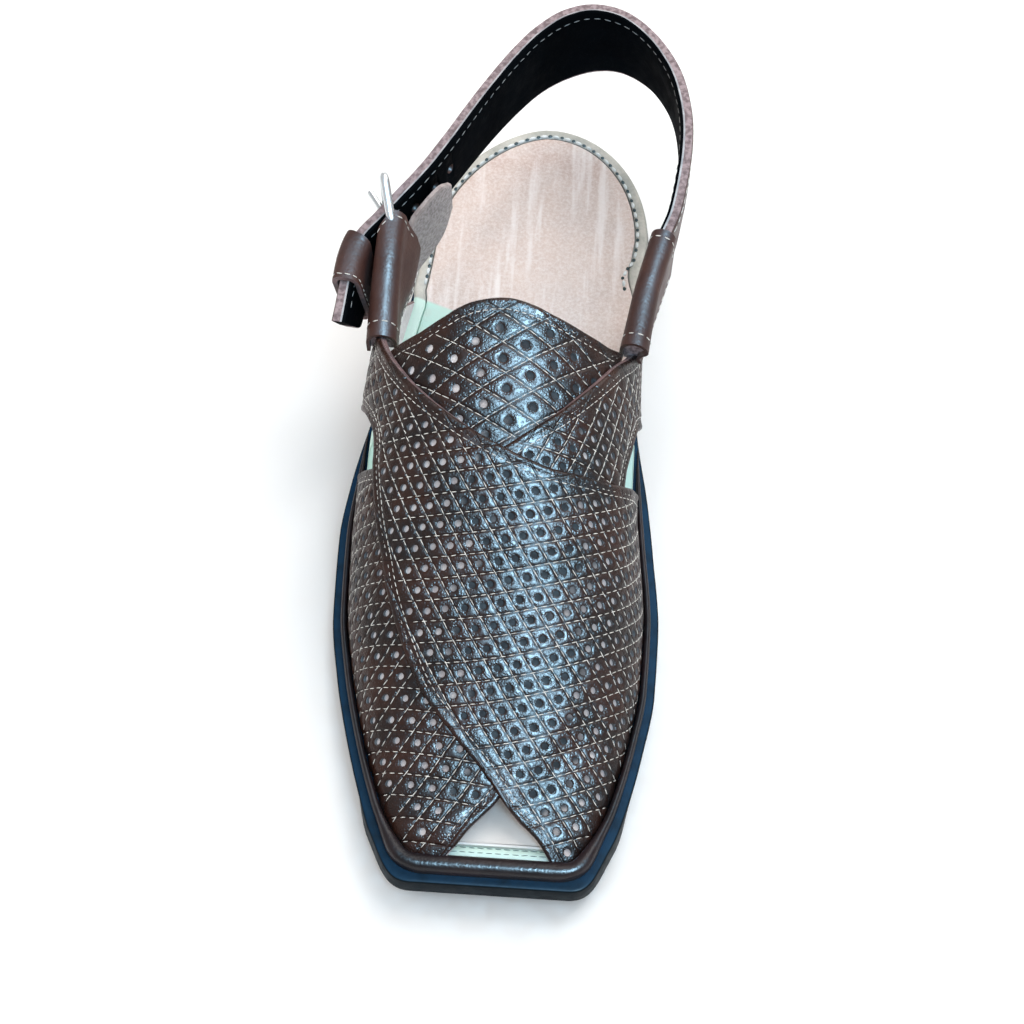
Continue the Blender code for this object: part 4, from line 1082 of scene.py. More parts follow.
@dataclass(frozen=True)
class Footbed:
    """The board with its rolled and stitched rim, and the leather cover let into it."""

    heel: float = 4.0
    toe: float = 2.5
    thin_start: float = -60.0
    thin_end: float = -150.0
    heel_inset: float = 0.5
    clear: float = 0.9
    step_lateral: tuple[float, float] = (-32.0, -40.0)
    step_medial: tuple[float, float] = (-16.0, -30.0)
    rim: float = 4.4
    round: float = 1.6
    recess: float = 1.6
    cover: float = 1.2
    cover_toe: float = -239.0
    row: float = 3.7
    row_pitch: float = 4.3
    toe_rows: tuple[float, float] = (2.3, 3.8)
    toe_pitch: float = 2.7
    toe_clear: float = 0.4
    toe_start: float = -226.0
    window_reach: float = 2.4
    window_end: float = -108.0
    blend: float = 8.0
    narrow_lateral: tuple[float, float] = (-80.0, -222.0)
    narrow_medial: tuple[float, float] = (-20.0, -222.0)
    narrowed: float = 0.92

    def top(self, y: Points) -> Points:
        """The board's upper face, thinner from the waist on."""
        thin = smooth_step((self.thin_start - y) / (self.thin_start - self.thin_end))
        return PLAN.top(y) + GAP + self.heel + (self.toe - self.heel) * thin

    def edge(self, y: Points, side: Side) -> Points:
        """How far the board's edge stands inside the sole's: out to the rand at the toe and in the window."""
        start, end = self.step_lateral if side is Side.LATERAL else self.step_medial
        step = smooth_step((start - y) / (start - end))
        deep = PLAN.upper_inset(y) + PLAN.wall + self.clear
        rand = SOLE.at("ledge", y) + SOLE.at("rand", y) + self.toe_clear
        deep = deep + smooth_step((self.toe_start - y) / 6.0) * (rand - deep)
        return self.heel_inset + step * (deep - self.heel_inset - self.window_reach * self.window(y, side))

    def window(self, y: Points, side: Side) -> Points:
        """Where the board reaches out into the foot of the upper, from 0 to 1."""
        start = self.step_lateral[0] if side is Side.LATERAL else self.step_medial[0]
        return smooth_step((start - y) / self.blend) * smooth_step((y - self.window_end) / self.blend)

    def rim_at(self, y: Points, side: Side) -> Points:
        """The share of the rim's width: all at the heel and the toe, little under the upper."""
        start, end = self.narrow_lateral if side is Side.LATERAL else self.narrow_medial
        narrow = smooth_step((start - y) / 14.0) * smooth_step((y - end) / self.blend)
        return 1.0 - self.narrowed * narrow

    def squeeze(self, y: Points, side: Side) -> Points:
        """How much narrower the board is ahead, where the upper closes in over it."""
        y = np.maximum(y, LAST_SHAPE.toe_wall)
        over = np.abs(LAST_SHAPE.foot(y, side)) - np.abs(LAST_SHAPE.wall_x(y, side, self.top(y)))
        return np.where(y > self.step_lateral[1], 0.0, over) * (1 - self.window(y, side))

    def below(self, drop: float) -> ByStation:
        """A height some way below the board's upper face."""
        return lambda y: self.top(y) - drop

    def level(self, step: float, height: ByStation) -> Level:
        """A level some way inside the board's edge."""
        return Level(lambda y, side: self.edge(y, side) + step * self.rim_at(y, side), height, self.squeeze)

    def line(self, side: Side, step: float) -> Points:
        """A line of places on the board, some way inside its edge."""
        level = self.level(step, self.top)
        inset = lambda y: level.inset(y, side) + self.window_reach * self.window(y, side)
        flat = PLAN.inset(side, inset, lambda y: level.squeeze(y, side))
        return np.column_stack([flat, self.top(flat[:, 1])])

    def make(self) -> None:
        """Makes the board, the cover and the rows of stitches."""
        base = lambda y: PLAN.top(y) + GAP
        levels = [self.level(0.6, base), self.level(0.0, lambda y: base(y) + 0.7)]
        rounding = [math.radians(angle) for angle in (0, 25, 50, 75, 90)]
        steps = [(self.round * (1 - math.cos(turn)), self.round * (1 - math.sin(turn))) for turn in rounding]
        steps += [(2.6, -0.05), (self.rim - 0.7, 0.1), (self.rim - 0.2, 0.45), (self.rim, self.recess)]
        levels += [self.level(step, self.below(drop)) for step, drop in steps]
        put_on(make_object("footbed_board", PLAN.plate(levels), [RIM]), "rim_leather", "footbed")
        inner, seat = self.rim + GAP, self.recess - GAP
        face = seat - self.cover
        steps = [(0.0, seat), (0.0, face + 0.3), (0.1, face + 0.1), (0.35, face), (1.0, face)]
        levels = [self.level(inner + step, self.below(drop)) for step, drop in steps]
        cover = make_object("insole_cover", PLAN.plate(levels, toe=self.cover_toe), [INSOLE])
        put_on(cover, "insole_leather", "footbed_cover")
        self.sew()

    def sew(self) -> None:
        """The thread beads round the heel's rim with dots of painted shade for the holes between them, and
        the rows on the toe's strip.
        """
        beads = Stitches("rim_beads", WHITE_THREAD, 1.25, 0.7)
        # painted shade: flat dark dots between the beads stand for the holes' shade
        holes = Stitches("rim_holes", STITCH_HOLE_SHADE, 1.3, 0.35)
        rows = Stitches("toe_strip_stitches", GREEN_THREAD, 0.28, 0.6)
        ends = {Side.LATERAL: -34.5, Side.MEDIAL: -30.0}
        around = [self.line(side, self.row) for side in Side]
        around = [line[line[:, 1] >= ends[side]] for side, line in zip(Side, around)]
        around = resample(np.vstack([around[0][::-1], around[1]]), 1.0)
        middles, runs = dashes(around, self.row_pitch)
        beads.add(middles + 0.05 * UP, runs, UP, 2.5)
        holes.add(middles + unit(runs) * self.row_pitch / 2, runs, UP, 1.5)
        for step in self.toe_rows:
            front = np.vstack([self.line(Side.LATERAL, step), self.line(Side.MEDIAL, step)[::-1]])
            middles, runs = dashes(resample(front[front[:, 1] < -215], 1.0), self.toe_pitch)
            rows.add(middles + 0.06 * UP, runs, UP, 2.1)
        for thread in (beads, holes, rows):
            thread.sew("rim_leather", "footbed")


@dataclass(frozen=True)
class Rand:
    """The rolled leather edge along the foot of the upper."""

    start: float = -84.0
    height: float = 4.6
    toe_wider: float = 0.9
    toe_outer: float = 1.5
    soften: int = 11
    toe_higher: float = 0.8
    profile: tuple[tuple[float, float], ...] = (
        (0, 0),
        (0, 0.35),
        (0.04, 0.62),
        (0.14, 0.84),
        (0.28, 0.95),
        (0.44, 1.0),
        (0.60, 0.99),
        (0.76, 0.95),
        (0.90, 0.87),
        (1, 0.76),
        (1, 0),
    )

    def toe(self, y: Points) -> Points:
        """How far a station is into the toe, from 0 to 1."""
        return smooth_step((-222.0 - y) / 10.0)

    def edge(self, y: Points) -> Points:
        """How far the rand's outer side stands inside the sole's edge."""
        return SOLE.at("ledge", y) - self.toe_outer * self.toe(y)

    def foot(self, y: Points) -> Points:
        """How far the rand's inner side stands inside the sole's edge."""
        return SOLE.at("ledge", y) + SOLE.at("rand", y) + self.toe_wider * self.toe(y)

    def make(self) -> None:
        """Makes the rand."""
        path = []
        for side in Side:
            edge, foot = PLAN.inset(side, self.edge), PLAN.inset(side, self.foot)
            pairs = np.stack([edge, foot], axis=1)[edge[:, 1] <= self.start]
            path.append(pairs if side is Side.LATERAL else pairs[::-1])
        pairs = resample(np.vstack(path).reshape(-1, 4), 1.4)
        kernel = np.ones(self.soften) / self.soften
        soft = np.stack([np.convolve(pairs[:, k], kernel, "same") for k in range(4)], axis=1)
        pairs = pairs + (soft - pairs) * smooth_step((-212.0 - pairs[:, 1:2]) / 8.0)
        outer, inner = pairs[:, :2], pairs[:, 2:]
        width = np.linalg.norm(outer - inner, axis=1)
        height = np.minimum(self.height, 2.0 * width) + self.toe_higher * self.toe(outer[:, 1])
        ring = []
        for across, up in self.profile:
            flat = outer + (inner - outer) * across
            ring.append(np.column_stack([flat, PLAN.top(flat[:, 1]) + GAP + height * up]))
        piece = make_object("rolled_rand", loft(np.stack(ring, axis=1)), [RAND_LEATHER], sharp=60)
        put_on(piece, "rand_leather", "rand")


# ---- the last
class LastShape:
    """The surface that the upper is laid on, as a fine net of places and outward directions."""

    start = -20.0
    tuck_start = -221.0
    tuck_reach = 2.3
    tuck_drop = 1.4

    def __init__(self, step: float = 0.5, across: int = 201, steps: int = 120) -> None:
        """Works out the net.

        Args:
            step: The pitch of its stations.
            across: How many places each station has from foot to foot.
            steps: How finely each half section is followed.
        """
        self.feet = {side: PLAN.inset(side, lambda y: PLAN.upper_inset(y) + PLAN.wall) for side in Side}
        self.toe_wall = float(self.feet[Side.MEDIAL][-1, 1])
        self.y = np.linspace(self.start, self.toe_wall, int((self.start - self.toe_wall) / step) + 1)
        self.u = np.linspace(-1, 1, across)
        self.walls: dict[Side, tuple[Points, Points]] = {}
        self.arcs: dict[Side, Points] = {}
        half = {}
        angle = np.pi / 2 * (1 - np.arange(steps + 1) / steps)
        floor = PLAN.top(self.y) + GAP
        crown_x = LAST.at("crown_x", self.y)
        crown_z = np.maximum(LAST.at("crown_z", self.y), floor + GAP)
        power = (2 / LAST.at("square", self.y))[:, None]
        out, up = np.maximum(np.cos(angle), 0.0) ** power, np.sin(np.maximum(angle, 0.0)) ** power
        shares = np.abs(self.u[across // 2 :])
        for side in Side:
            swell = LAST.at(f"swell_{side.name.lower()}", self.y)[:, None]
            foot = self.foot(self.y, side)
            x = crown_x[:, None] + (foot - crown_x)[:, None] * out
            x = x + side.value * swell * 4 * up * (1 - up) * out
            z = floor[:, None] + (crown_z - floor)[:, None] * up
            self.walls[side] = (x, z)
            length = np.cumsum(np.hypot(np.diff(x), np.diff(z)), axis=1)
            length = np.concatenate([np.zeros((len(self.y), 1)), length], axis=1)
            self.arcs[side] = length[:, -1]
            at = shares * length[:, -1:]
            rows = []
            for a, s, xs, zs, y in zip(at, length, x, z, self.y):
                rows.append(np.stack([np.interp(a, s, xs), np.full(len(a), y), np.interp(a, s, zs)], axis=1))
            half[side] = np.array(rows)
        self.net = np.concatenate([half[Side.LATERAL][:, :0:-1], half[Side.MEDIAL]], axis=1)
        tuck = smooth_step((self.tuck_start - self.y) / (self.tuck_start - self.toe_wall))[:, None]
        self.net[..., 2] -= tuck * np.minimum(self.net[..., 2] - floor[:, None], self.tuck_drop)
        self.net[..., 1] -= tuck * self.tuck_reach
        along, over = np.gradient(self.net, self.y, axis=0), np.gradient(self.net, self.u, axis=1)
        normal = unit(np.cross(-along, over))
        kernel = np.ones(7) / 7
        padded = np.concatenate([normal[:1]] * 3 + [normal] + [normal[-1:]] * 3)
        normal = sum(w * padded[k : k + len(normal)] for k, w in enumerate(kernel))
        normal[..., 2] *= smooth_step((1 - np.abs(self.u)) / 0.02)
        self.normal = unit(normal)
        crown = self.net[:, across // 2]
        length = lengths_along(crown)
        self.along = length - np.interp(-FLAT_START, -self.y, length)

    def foot(self, y: Points, side: Side) -> Points:
        """Where the wall's inner face meets the sole."""
        line = self.feet[side]
        return np.interp(-np.asarray(y), -line[:, 1], line[:, 0])

    def wall_x(self, y: Points, side: Side, height: Points) -> Points:
        """How far out the surface reaches at a height, at each station."""
        rows = np.round((self.y[0] - np.asarray(y)) / (self.y[0] - self.y[1])).astype(int)
        rows = np.clip(rows, 0, len(self.y) - 1)
        x, z = self.walls[side]
        return np.array([np.interp(h, z[r][::-1], x[r][::-1]) for r, h in zip(rows, height)])

    def arc(self, y: Points, across: Points) -> Points:
        """The half girth on the side where across lies."""
        halves = [np.interp(-np.asarray(y), -self.y, self.arcs[side]) for side in Side]
        return np.where(np.asarray(across) < 0, *halves)

    def flat(self, u: Points, y: Points) -> Points:
        """Flat places of places on the last."""
        return np.stack([u * self.arc(y, u), np.interp(-np.asarray(y), -self.y, self.along)], axis=-1)

    def unflat(self, flat: Points) -> tuple[Points, Points]:
        """Places on the last of flat places."""
        y = np.interp(flat[..., 1], self.along, self.y)
        return np.clip(flat[..., 0] / self.arc(y, flat[..., 0]), -1, 1), y

    def sample(self, net: Points, u: Points, y: Points) -> Points:
        """A net's values between its places."""
        row = np.clip((self.y[0] - y) / (self.y[0] - self.y[1]), 0, len(self.y) - 1.001)
        column = np.clip((u + 1) / (self.u[1] - self.u[0]), 0, len(self.u) - 1.001)
        i, j = row.astype(int), column.astype(int)
        a, b = (row - i)[..., None], (column - j)[..., None]
        near = net[i, j] * (1 - b) + net[i, j + 1] * b
        return near * (1 - a) + (net[i + 1, j] * (1 - b) + net[i + 1, j + 1] * b) * a

    def place(self, flat: Points, height: Points | float) -> Points:
        """Places in space, at some height above the last, of flat places."""
        u, y = self.unflat(flat)
        rise = np.broadcast_to(height, u.shape)[..., None]
        return self.sample(self.net, u, y) + self.sample(self.normal, u, y) * rise

    def out(self, flat: Points) -> Points:
        """The outward directions at flat places."""
        return unit(self.sample(self.normal, *self.unflat(flat)))


LAST_SHAPE = LastShape()


# ---- quilted leather
class Count(NamedTuple):
    """A count of quilting lines over the flat: where it is a whole number, a line runs."""

    phase: float
    across: float
    along: float
    bow: float = 0.0
    fan: float = 0.0
    crowd: float = 0.0

    def at(self, a: Points, b: Points) -> Points:
        """The count at flat places."""
        bent = (self.bow * a * a + self.fan * a * b + self.crowd * b * b) / 100
        return self.phase + self.across * a + self.along * b + bent

    def slope(self, a: Points, b: Points) -> tuple[Points, Points]:
        """How fast the count grows across and along."""
        across = self.across + (2 * self.bow * a + self.fan * b) / 100
        along = self.along + (self.fan * a + 2 * self.crowd * b) / 100
        return across, along


class Lattice(NamedTuple):
    """Two families of quilting lines that cross, mirrored where the band is the other one's mirror."""

    steep: Count
    cross: Count
    mirror: int = 1

    def cells(self, flat: Points) -> Points:
        """Both counts at flat places."""
        a, b = flat[..., 0], flat[..., 1]
        return np.stack([self.steep.at(self.mirror * a, b), self.cross.at(a, b)], axis=-1)

    def flat(self, cells: Points, rounds: int = 25, leap: float = 30.0) -> Points:
        """Flat places of both counts, by rounds of Newton's method that move no further than a leap."""
        found = np.zeros_like(cells) + (0.0, 90.0)
        for _ in range(rounds):
            a, b = found[..., 0], found[..., 1]
            off = cells - self.cells(found)
            p, q = self.steep.slope(self.mirror * a, b)
            p = p * self.mirror
            r, s = self.cross.slope(a, b)
            det = p * s - q * r
            across = (s * off[..., 0] - q * off[..., 1]) / det
            along = (p * off[..., 1] - r * off[..., 0]) / det
            found = found + np.clip(np.stack([across, along], axis=-1), -leap, leap)
        return found


STEEP = Count(17.602, 0.19244, -0.10763, -0.03789, -0.02158, 0.00352)
OVER_LATTICE = Lattice(STEEP, Count(-19.887, 0.03464, 0.16343, 0.0732, -0.00171, -0.00451))
UNDER_LATTICE = Lattice(STEEP, Count(-19.84, -0.0205, 0.1499), mirror=-1)
TONGUE_LATTICE = Lattice(Count(8.36, 0.063, -0.110), Count(5.905, -0.0637, -0.0993))


class Crease(NamedTuple):
    """A soft trough (depth above 0) or ridge (below 0) from one place (u, y) to another."""

    u: float
    y: float
    end_u: float
    end_y: float
    width: float
    depth: float


CREASES = (
    Crease(-0.62, -140, -0.12, -152, 5.0, 0.35),
    Crease(-0.55, -151, -0.05, -163, 5.0, -0.30),
    Crease(0.60, -138, 0.10, -150, 5.0, 0.26),
    Crease(0.52, -166, 0.02, -174, 7.0, 0.16),
    Crease(-0.50, -176, 0.0, -182, 6.0, 0.22),
    Crease(-0.95, -120, -0.60, -112, 6.0, 0.35),
    Crease(0.95, -118, 0.62, -110, 6.0, 0.35),
)


def creased(flat: Points) -> Points:
    """How far the creases lower (or raise, below 0) the upper at flat places."""
    depth = np.zeros(len(flat))
    for crease in CREASES:
        ends = LAST_SHAPE.flat(np.array([crease.u, crease.end_u]), np.array([crease.y, crease.end_y]))
        depth += crease.depth * np.exp(-((distance_to(flat, resample(ends, 4.0)) / crease.width) ** 2))
    return depth


@dataclass
class QuiltedPiece:
    """Leather laid on the last: a quilted, punched outer layer with a lining under it."""

    name: str
    node: str
    edges: list[Points]
    hems: tuple[int, ...]
    lattice: Lattice
    base: ByStation
    thickness: float = 2.2
    lining: float = 1.25
    hole: float = 1.12
    roll: float = 0.5
    hole_sides: int = 12
    puff: float = 0.42
    hem_rows: tuple[float, float] = (2.2, 3.6)
    rim: float = 0.5
    second_rim: float = 0.15
    sink: float = 0.35
    press: float = 0.65
    toe_thin: float = 0.9
    hole_margin: float = 5.2
    foot_margin: float = 4.6
    per_cell: int = 8
    quilt_dashes: tuple[tuple[float, float], ...] = ((3.0, 2.5), (2.75, 1.9))
    hem_dashes: tuple[float, float] = (2.4, 1.8)
    covered: Points | None = None

    def __post_init__(self) -> None:
        """Works out the loop, the counts' range and where the holes are."""
        self.loop = np.vstack([edge[:-1] for edge in self.edges])
        self.closed = np.vstack([self.loop, self.loop[:1]])
        self.hem_lines = [self.edges[k] for k in self.hems]
        self.foot_lines = [edge for k, edge in enumerate(self.edges) if k not in self.hems]
        at = self.lattice.cells(self.loop)
        self.low, self.high = np.floor(at.min(0)) - 1, np.ceil(at.max(0)) + 1
        self.centres = self.hole_centres()

    def hem_distance(self, flat: Points) -> Points:
        """The distance to the nearest free edge."""
        return np.min([distance_to(flat, line) for line in self.hem_lines], axis=0)

    def foot_distance(self, flat: Points) -> Points:
        """The distance to the nearest edge that is sewn to the sole."""
        if not self.foot_lines:
            return np.full(len(flat), np.inf)
        return np.min([distance_to(flat, line) for line in self.foot_lines], axis=0)

    def buried(self, flat: Points) -> Points:
        """How far places lie under the piece that covers this one, below 0 outside it."""
        if self.covered is None:
            return np.full(len(flat), -np.inf)
        away = distance_to(flat, np.vstack([self.covered, self.covered[:1]]))
        return np.where(inside(flat, self.covered), away, -away)

    def pressed(self, flat: Points) -> Points:
        """How far the piece that covers this one presses it down."""
        return self.press * smooth_step(self.buried(flat) / 2.0)

    def hole_distance(self, flat: Points) -> Points:
        """The distance to the nearest hole's middle, endless where nothing is punched."""
        away = [np.linalg.norm(flat - centre, axis=1) for centre in self.centres]
        return np.min(away, axis=0) if away else np.full(len(flat), np.inf)

    def hole_centres(self) -> Points:
        """The middles of the cells that are punched."""
        steps = [np.arange(low, high) for low, high in zip(self.low, self.high)]
        cells = np.stack(np.meshgrid(*steps), axis=-1).reshape(-1, 2) + (0.45, 0.5)
        cells += np.random.default_rng(SEED).uniform(-0.03, 0.03, cells.shape)
        flat = self.lattice.flat(cells)
        flat = flat[np.isfinite(flat).all(1) & inside(flat, self.loop)]
        clear = (self.hem_distance(flat) > self.hole_margin) & (self.foot_distance(flat) > self.foot_margin)
        return flat[clear & (self.buried(flat) < 2.0)]

    def top(self, flat: Points) -> Points:
        """The height of the outer surface above the last."""
        cells = self.lattice.cells(flat)
        hem = self.hem_distance(flat)
        waves = np.abs(np.sin(np.pi * cells)).prod(-1) ** 0.6
        swell = self.puff * waves * smooth_step((hem - 3.2) / 1.4)
        first, second = self.hem_rows
        rim = self.rim * np.sin(np.pi * np.clip(hem / first, 0, 1)) ** 0.7
        swell += rim + self.second_rim * np.sin(np.pi * np.clip((hem - first) / (second - first), 0, 1))
        height = self.base(flat) + self.thickness + swell
        to_hole = np.maximum(self.hole_distance(flat) - self.hole, 0.0)
        height = height - self.sink * np.exp(-to_hole / self.sink)
        height = height - self.sink * (1 - smooth_step(hem / 0.6))
        into_toe = smooth_step((LAST_SHAPE.tuck_start - LAST_SHAPE.unflat(flat)[1]) / 7.0)
        return height - self.toe_thin * into_toe - self.pressed(flat)

    def net(self) -> tuple[Points, list[tuple[int, ...]], list[list[int]]]:
        """The flat net: its places, its triangles, and its loops, the border first."""
        turns = np.arange(self.hole_sides) * math.tau / self.hole_sides
        circle = np.stack([np.cos(turns), np.sin(turns)], axis=1)
        loops, places = [list(range(len(self.loop)))], [self.loop]
        total = len(self.loop)
        for centre in self.centres:
            places.append(centre + self.hole * circle)
            loops.append(list(range(total, total + self.hole_sides)))
            total += self.hole_sides
        constraints = [(a, b) for loop in loops for a, b in zip(loop, loop[1:] + loop[:1])]
        for centre in self.centres:
            places.append(centre + (self.hole + self.roll) * circle)
        after = np.roll(self.loop, -1, axis=0) - np.roll(self.loop, 1, axis=0)
        left = unit(np.stack([-after[:, 1], after[:, 0]], 1))
        turn = 1 if inside((self.loop + 0.02 * left)[:1], self.loop)[0] else -1
        ring = self.loop + turn * 0.6 * left
        away = distance_to(ring, self.closed)
        places.append(ring[inside(ring, self.loop) & (away > 0.5)])
        fine = self.per_cell
        steps = [np.arange(low * fine, high * fine + 1) / fine for low, high in zip(self.low, self.high)]
        grid = self.lattice.flat(np.stack(np.meshgrid(*steps), axis=-1).reshape(-1, 2))
        grid = grid[np.isfinite(grid).all(1)]
        grid = grid[inside(grid, self.loop)]
        grid = grid[distance_to(grid, self.closed) > 1.0]
        places.append(grid[self.hole_distance(grid) > self.hole + self.roll + 0.35])
        flat = np.vstack(places)
        made, _, faces, origins, _, _ = delaunay_2d_cdt([Vector(p) for p in flat], constraints, [], 0, 1e-6)
        made = np.array([tuple(p) for p in made])
        index = {source: k for k, sources in enumerate(origins) for source in sources}
        faces = np.array(faces)
        middle = made[faces].mean(axis=1)
        open_to = self.hole * math.cos(math.pi / self.hole_sides) - 0.05
        faces = faces[inside(middle, self.loop) & (self.hole_distance(middle) > open_to)]
        return made, [tuple(face) for face in faces.tolist()], [[index[k] for k in loop] for loop in loops]

    def leather(self) -> None:
        """Makes the outer layer."""
        flat, faces, loops = self.net()
        seat = self.base(flat) + self.lining + 0.03 - self.pressed(flat)
        outer, inner = LAST_SHAPE.place(flat, self.top(flat)), LAST_SHAPE.place(flat, seat)
        uvs = {"cells": np.tile(self.lattice.cells(flat), (2, 1))}
        parts = sheet(outer, inner, faces, loops, (0, 3, 1, 2))
        finishes = [QUILTED, CUT_EDGE, HOLE_WALL, LINING]
        piece = make_object(f"{self.name}_leather", parts, finishes, uvs, sharp=50)
        put_on(piece, "brown_leather", self.node)

    def backing(self) -> None:
        """Makes the lining that shows in the holes and on the inside."""
        flat, faces, loops = replace(self, per_cell=3, hole_margin=math.inf).net()
        base = self.base(flat)
        outer = LAST_SHAPE.place(flat, base + self.lining - 0.9 * self.pressed(flat))
        parts = sheet(outer, LAST_SHAPE.place(flat, base), faces, loops, (0, 0, 1, 1))
        piece = make_object(f"{self.name}_lining", parts, [LINING, CUT_EDGE])
        put_on(piece, "brown_leather", self.node)

    def rows(self) -> list[tuple[Points, float, float]]:
        """Every line of stitches: its flat places, its pitch and its dashes' length."""
        found = []
        for axis, (pitch, length) in enumerate(self.quilt_dashes):
            for count in np.arange(self.low[axis], self.high[axis] + 1):
                other = np.arange(self.low[1 - axis], self.high[1 - axis], 0.03)
                cells = np.stack([np.full(len(other), count), other][:: 1 if axis == 0 else -1], axis=-1)
                line = self.lattice.flat(cells)
                found += [(run, pitch, length) for run in self.clear_runs(line)]
        for hem in self.hem_lines:
            for depth in self.hem_rows:
                found += [(run, *self.hem_dashes) for run in self.offset_runs(hem, depth)]
        return found

    def clear_runs(self, line: Points) -> list[Points]:
        """The parts of a quilting line inside the border rows and in the open."""
        keep = np.isfinite(line).all(1) & inside(line, self.loop)
        keep[keep] &= self.hem_distance(line[keep]) > self.hem_rows[-1] + 0.4
        keep[keep] &= self.foot_distance(line[keep]) > 1.5
        keep[keep] &= self.buried(line[keep]) < 1.0
        return runs_of(line, keep)

    def offset_runs(self, edge: Points, depth: float) -> list[Points]:
        """The parts in the open of a row at a depth inside an edge."""
        fine = resample(edge, 0.6)
        along = unit(np.gradient(fine, axis=0))
        best: list[Points] = []
        for turn in (1, -1):
            line = fine + turn * depth * np.stack([-along[:, 1], along[:, 0]], 1)
            keep = inside(line, self.loop)
            keep[keep] &= distance_to(line[keep], self.closed) > depth - 0.12
            keep[keep] &= self.buried(line[keep]) < 1.0
            runs = runs_of(line, keep)
            if sum(map(len, runs)) > sum(map(len, best)):
                best = runs
        return best

    def sew(self) -> None:
        """Sews every line."""
        thread = Stitches(f"{self.name}_stitches", THREAD)
        for line, pitch, length in self.rows():
            middles, runs = dashes(line, pitch)
            if not len(middles):
                continue
            height = self.top(middles) + 0.04
            ahead, behind = (LAST_SHAPE.place(middles + k * 0.4 * unit(runs), height) for k in (1, -1))
            thread.add(LAST_SHAPE.place(middles, height), ahead - behind, LAST_SHAPE.out(middles), length)
        thread.sew("brown_leather", self.node)

    def make(self) -> None:
        """Makes the leather, its lining and its stitches."""
        self.leather()
        self.backing()
        self.sew()


def sheet(outer: Points, inner: Points, faces: list, loops: list, paint: Sequence[int]) -> MeshParts:
    """A sheet with a thickness.

    Args:
        outer: The places of its outer face.
        inner: The places of its inner face, in the same order.
        faces: The outer face's triangles.
        loops: Its border and then its holes.
        paint: The material numbers of the outer face, the inner face, the border and the holes.

    Returns:
        The sheet's mesh.
    """
    count = len(outer)
    back = [tuple(k + count for k in face[::-1]) for face in faces]
    walls = [(a, b, b + count, a + count) for loop in loops for a, b in zip(loop, loop[1:] + loop[:1])]
    sizes = (len(faces), len(back), len(loops[0]), len(walls) - len(loops[0]))
    slots = [number for number, size in zip(paint, sizes) for _ in range(size)]
    return MeshParts(np.vstack([outer, inner]), faces + back + walls, slots)


def runs_of(line: Points, keep: Points, shortest: int = 4) -> list[Points]:
    """The unbroken stretches of a line's places that are kept."""
    marks = np.flatnonzero(np.diff(np.concatenate([[False], keep, [False]]).astype(int)))
    return [line[a:b] for a, b in zip(marks[::2], marks[1::2]) if b - a >= shortest]


def band_edges(column: str, side: Side, pitch: float = 1.1) -> list[Points]:
    """A band's front edge, its far foot, its top edge and its waist foot, in the flat, end to end.

    Args:
        column: The band's column in the tables.
        side: The side where its waist end stands.
        pitch: How far apart the places are.

    Returns:
        The four edges, each starting where the last one ends.
    """
    near, far = FRONT_EDGE.rows[0][0], FRONT_EDGE.rows[-1][0]
    y = np.linspace(near, max(far, LAST_SHAPE.toe_wall + 0.05), 400)
    notch = FRONT_EDGE.at(column, y[-1])
    v = np.linspace(-1, 1, 400)
    foot_top, waist_top = TOP_EDGE.at(column, -1.0), TOP_EDGE.at(column, 1.0)
    foot_v = np.concatenate([np.linspace(notch, -1, 40), np.full(200, -1.0)])
    foot_y = np.concatenate([np.full(40, y[-1]), np.linspace(y[-1], foot_top, 200)])
    edges = (
        (FRONT_EDGE.at(column, y), y),
        (foot_v, foot_y),
        (v, TOP_EDGE.at(column, v)),
        (np.full(100, 1.0), np.linspace(waist_top, near, 100)),
    )
    return [resample(LAST_SHAPE.flat(side.value * v, y), pitch) for v, y in edges]


@dataclass(frozen=True)
class Upper:
    """The two quilted bands that cross over the foot, and the tongue under them."""

    lap: float = 1.6
    ramp: float = 13.0
    tongue_drop: float = 2.45
    tongue_wall: float = 2.0

    def lift(self, flat: Points) -> Points:
        """How far the over band is raised by the under band beneath it."""
        u, y = LAST_SHAPE.unflat(flat)
        front = (FRONT_EDGE.at("under", y) - u) * LAST_SHAPE.arc(y, u)
        front = np.where(y > FRONT_EDGE.rows[0][0], self.ramp, front)
        top = TOP_EDGE.at("under", u) - y
        return self.lap * smooth_step(np.minimum(front, top) / self.ramp + 1) - creased(flat)

    def tongue_edges(self) -> list[Points]:
        """The tongue's top, inner side, lower and outer edges, in the flat."""
        u = np.linspace(TONGUE_EDGE.rows[0][0], TONGUE_EDGE.rows[-1][0], 200)
        top, bottom = TONGUE_EDGE.at("top", u), TONGUE_EDGE.at("bottom", u)
        sides = [np.linspace(top[k], bottom[k], 40) for k in (-1, 0)]
        edges = (
            (u, top),
            (np.full(40, u[-1]), sides[0]),
            (u[::-1], bottom[::-1]),
            (np.full(40, u[0]), sides[1][::-1]),
        )
        return [resample(LAST_SHAPE.flat(a, b), 1.1) for a, b in edges]

    def make(self) -> None:
        """Makes both bands and the tongue."""
        over, under = band_edges("over", Side.LATERAL), band_edges("under", Side.MEDIAL)
        over_loop = np.vstack([edge[:-1] for edge in over])
        base = lambda flat: -creased(flat)
        QuiltedPiece("over_band", "upper", over, (0, 2), OVER_LATTICE, self.lift).make()
        QuiltedPiece("under_band", "upper", under, (0, 2), UNDER_LATTICE, base, covered=over_loop).make()
        QuiltedPiece(
            "tongue",
            "tongue",
            self.tongue_edges(),
            (0, 1, 2, 3),
            TONGUE_LATTICE,
            lambda flat: np.full(len(flat), -self.tongue_drop),
            thickness=self.tongue_wall,
            hole=1.35,
            puff=0.3,
        ).make()


# ---- straps and buckle
class Stations(NamedTuple):
    """Places along a strap: middles, directions along and away from the foot, and the other columns."""

    middle: Points
    along: Points
    out: Points
    rest: Points


